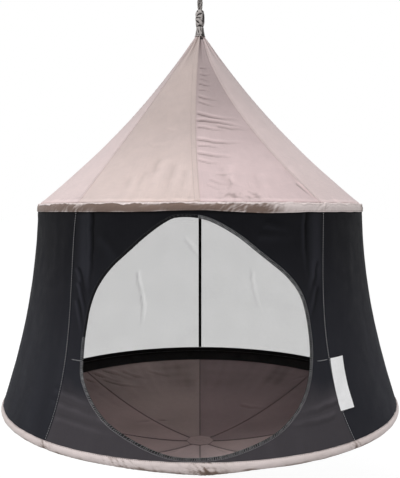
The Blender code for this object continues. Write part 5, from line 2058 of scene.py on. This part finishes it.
@dataclass
class Studio:
    """The camera, the lamps and the pale floor under the hung tent."""

    lens: float = 47.64
    camera_y: float = -2.471
    camera_z: float = -0.9178
    camera_dip: float = radians(2.49)
    floor_z: float = -2.43
    floor_half: float = 90.0
    world_up: float = 0.78
    world_down: float = 0.7
    key_watts: float = 64.0
    key_size: float = 2.4
    key_place: tuple[float, float, float] = (-1.5, -2.3, 2.4)

    def build(self) -> None:
        """Sets up everything that isn't part of the tent."""
        bpy.context.scene.view_settings.view_transform = "Standard"
        self.set_camera()
        self.set_floor()
        self.set_world()
        self.set_lamp()

    def set_camera(self) -> None:
        """Makes the camera at the photograph's place and height."""
        data = bpy.data.cameras.new("view")
        data.sensor_width = 36.0
        data.lens = self.lens
        camera = placed("view", data)
        camera.location = (0.0, self.camera_y, self.camera_z)
        camera.rotation_euler = (pi / 2 - self.camera_dip, 0.0, 0.0)
        bpy.context.scene.camera = camera

    def set_floor(self) -> None:
        """Makes the pale floor, well below the tent."""
        data = bpy.data.meshes.new("studio_floor")
        signs = ((-1, -1), (1, -1), (1, 1), (-1, 1))
        corners = [(x * self.floor_half, y * self.floor_half, self.floor_z) for x, y in signs]
        data.from_pydata(corners, [], [(0, 1, 2, 3)])
        data.materials.append(StudioFloor("pale studio floor").build())
        placed("studio_floor", data)

    def set_world(self) -> None:
        """Makes the soft room light, which is white wherever it is seen."""
        s = Shading("studio", world=True)
        up = s.add("ShaderNodeSeparateXYZ", {0: s.add("ShaderNodeTexCoord").outputs["Generated"]}).outputs[2]
        level = s.span(up, -0.2, 0.9, self.world_down, self.world_up)
        strength = s.add("ShaderNodeMix", {0: s.seen(), 2: level, 3: 1.0}).outputs[0]
        background = s.add("ShaderNodeBackground", {"Color": (1.0, 1.0, 1.0, 1.0), "Strength": strength})
        s.add("ShaderNodeOutputWorld", {0: background.outputs[0]})
        bpy.context.scene.world = s.owner

    def set_lamp(self) -> None:
        """Makes one large soft lamp above, in front and to the left."""
        data = bpy.data.lights.new("key", "AREA")
        data.shape = "DISK"
        data.size = self.key_size
        data.energy = self.key_watts
        lamp = placed("key", data)
        lamp.location = self.key_place
        aim = Vector((0.0, 0.0, -0.9)) - lamp.location
        lamp.rotation_euler = aim.to_track_quat("-Z", "Y").to_euler()


def main() -> None:
    """Builds the studio and every piece of the tent, in order."""
    logging.basicConfig(level=logging.INFO, format="%(message)s")
    Studio().build()
    LOG.info("studio: camera, lamp and floor")
    finishes = Finishes()
    assemblies = (
        SnapHook(finishes),
        Hanger(finishes),
        Hoop(finishes, "upper", UPPER_HOOP_RADIUS, UPPER_HOOP_Z, Body.UPPER, 3, 176.0, 1100, 51.0, 0.0018,
             ((12.0, 0.12), (-39.5, 0.04), (39.5, 0.04), (-48.0, 0.05)), skirted=True),
        Hoop(finishes, "lower", LOWER_HOOP_RADIUS, LOWER_HOOP_Z, Body.LOWER, 4, 112.0, 1300, 57.0, 0.0012,
             ((-39.5, 0.03), (-17.0, 0.06), (0.5, 0.06), (39.5, 0.03), (-85.0, 0.03), (85.0, 0.03)), droop=0.01),
        Roof(finishes),
        Wall(finishes),
        Floor(finishes),
    )
    for assembly in assemblies:
        assembly.build()
        LOG.info("%s: built", type(assembly).__name__)


if __name__ == "__main__":
    main()
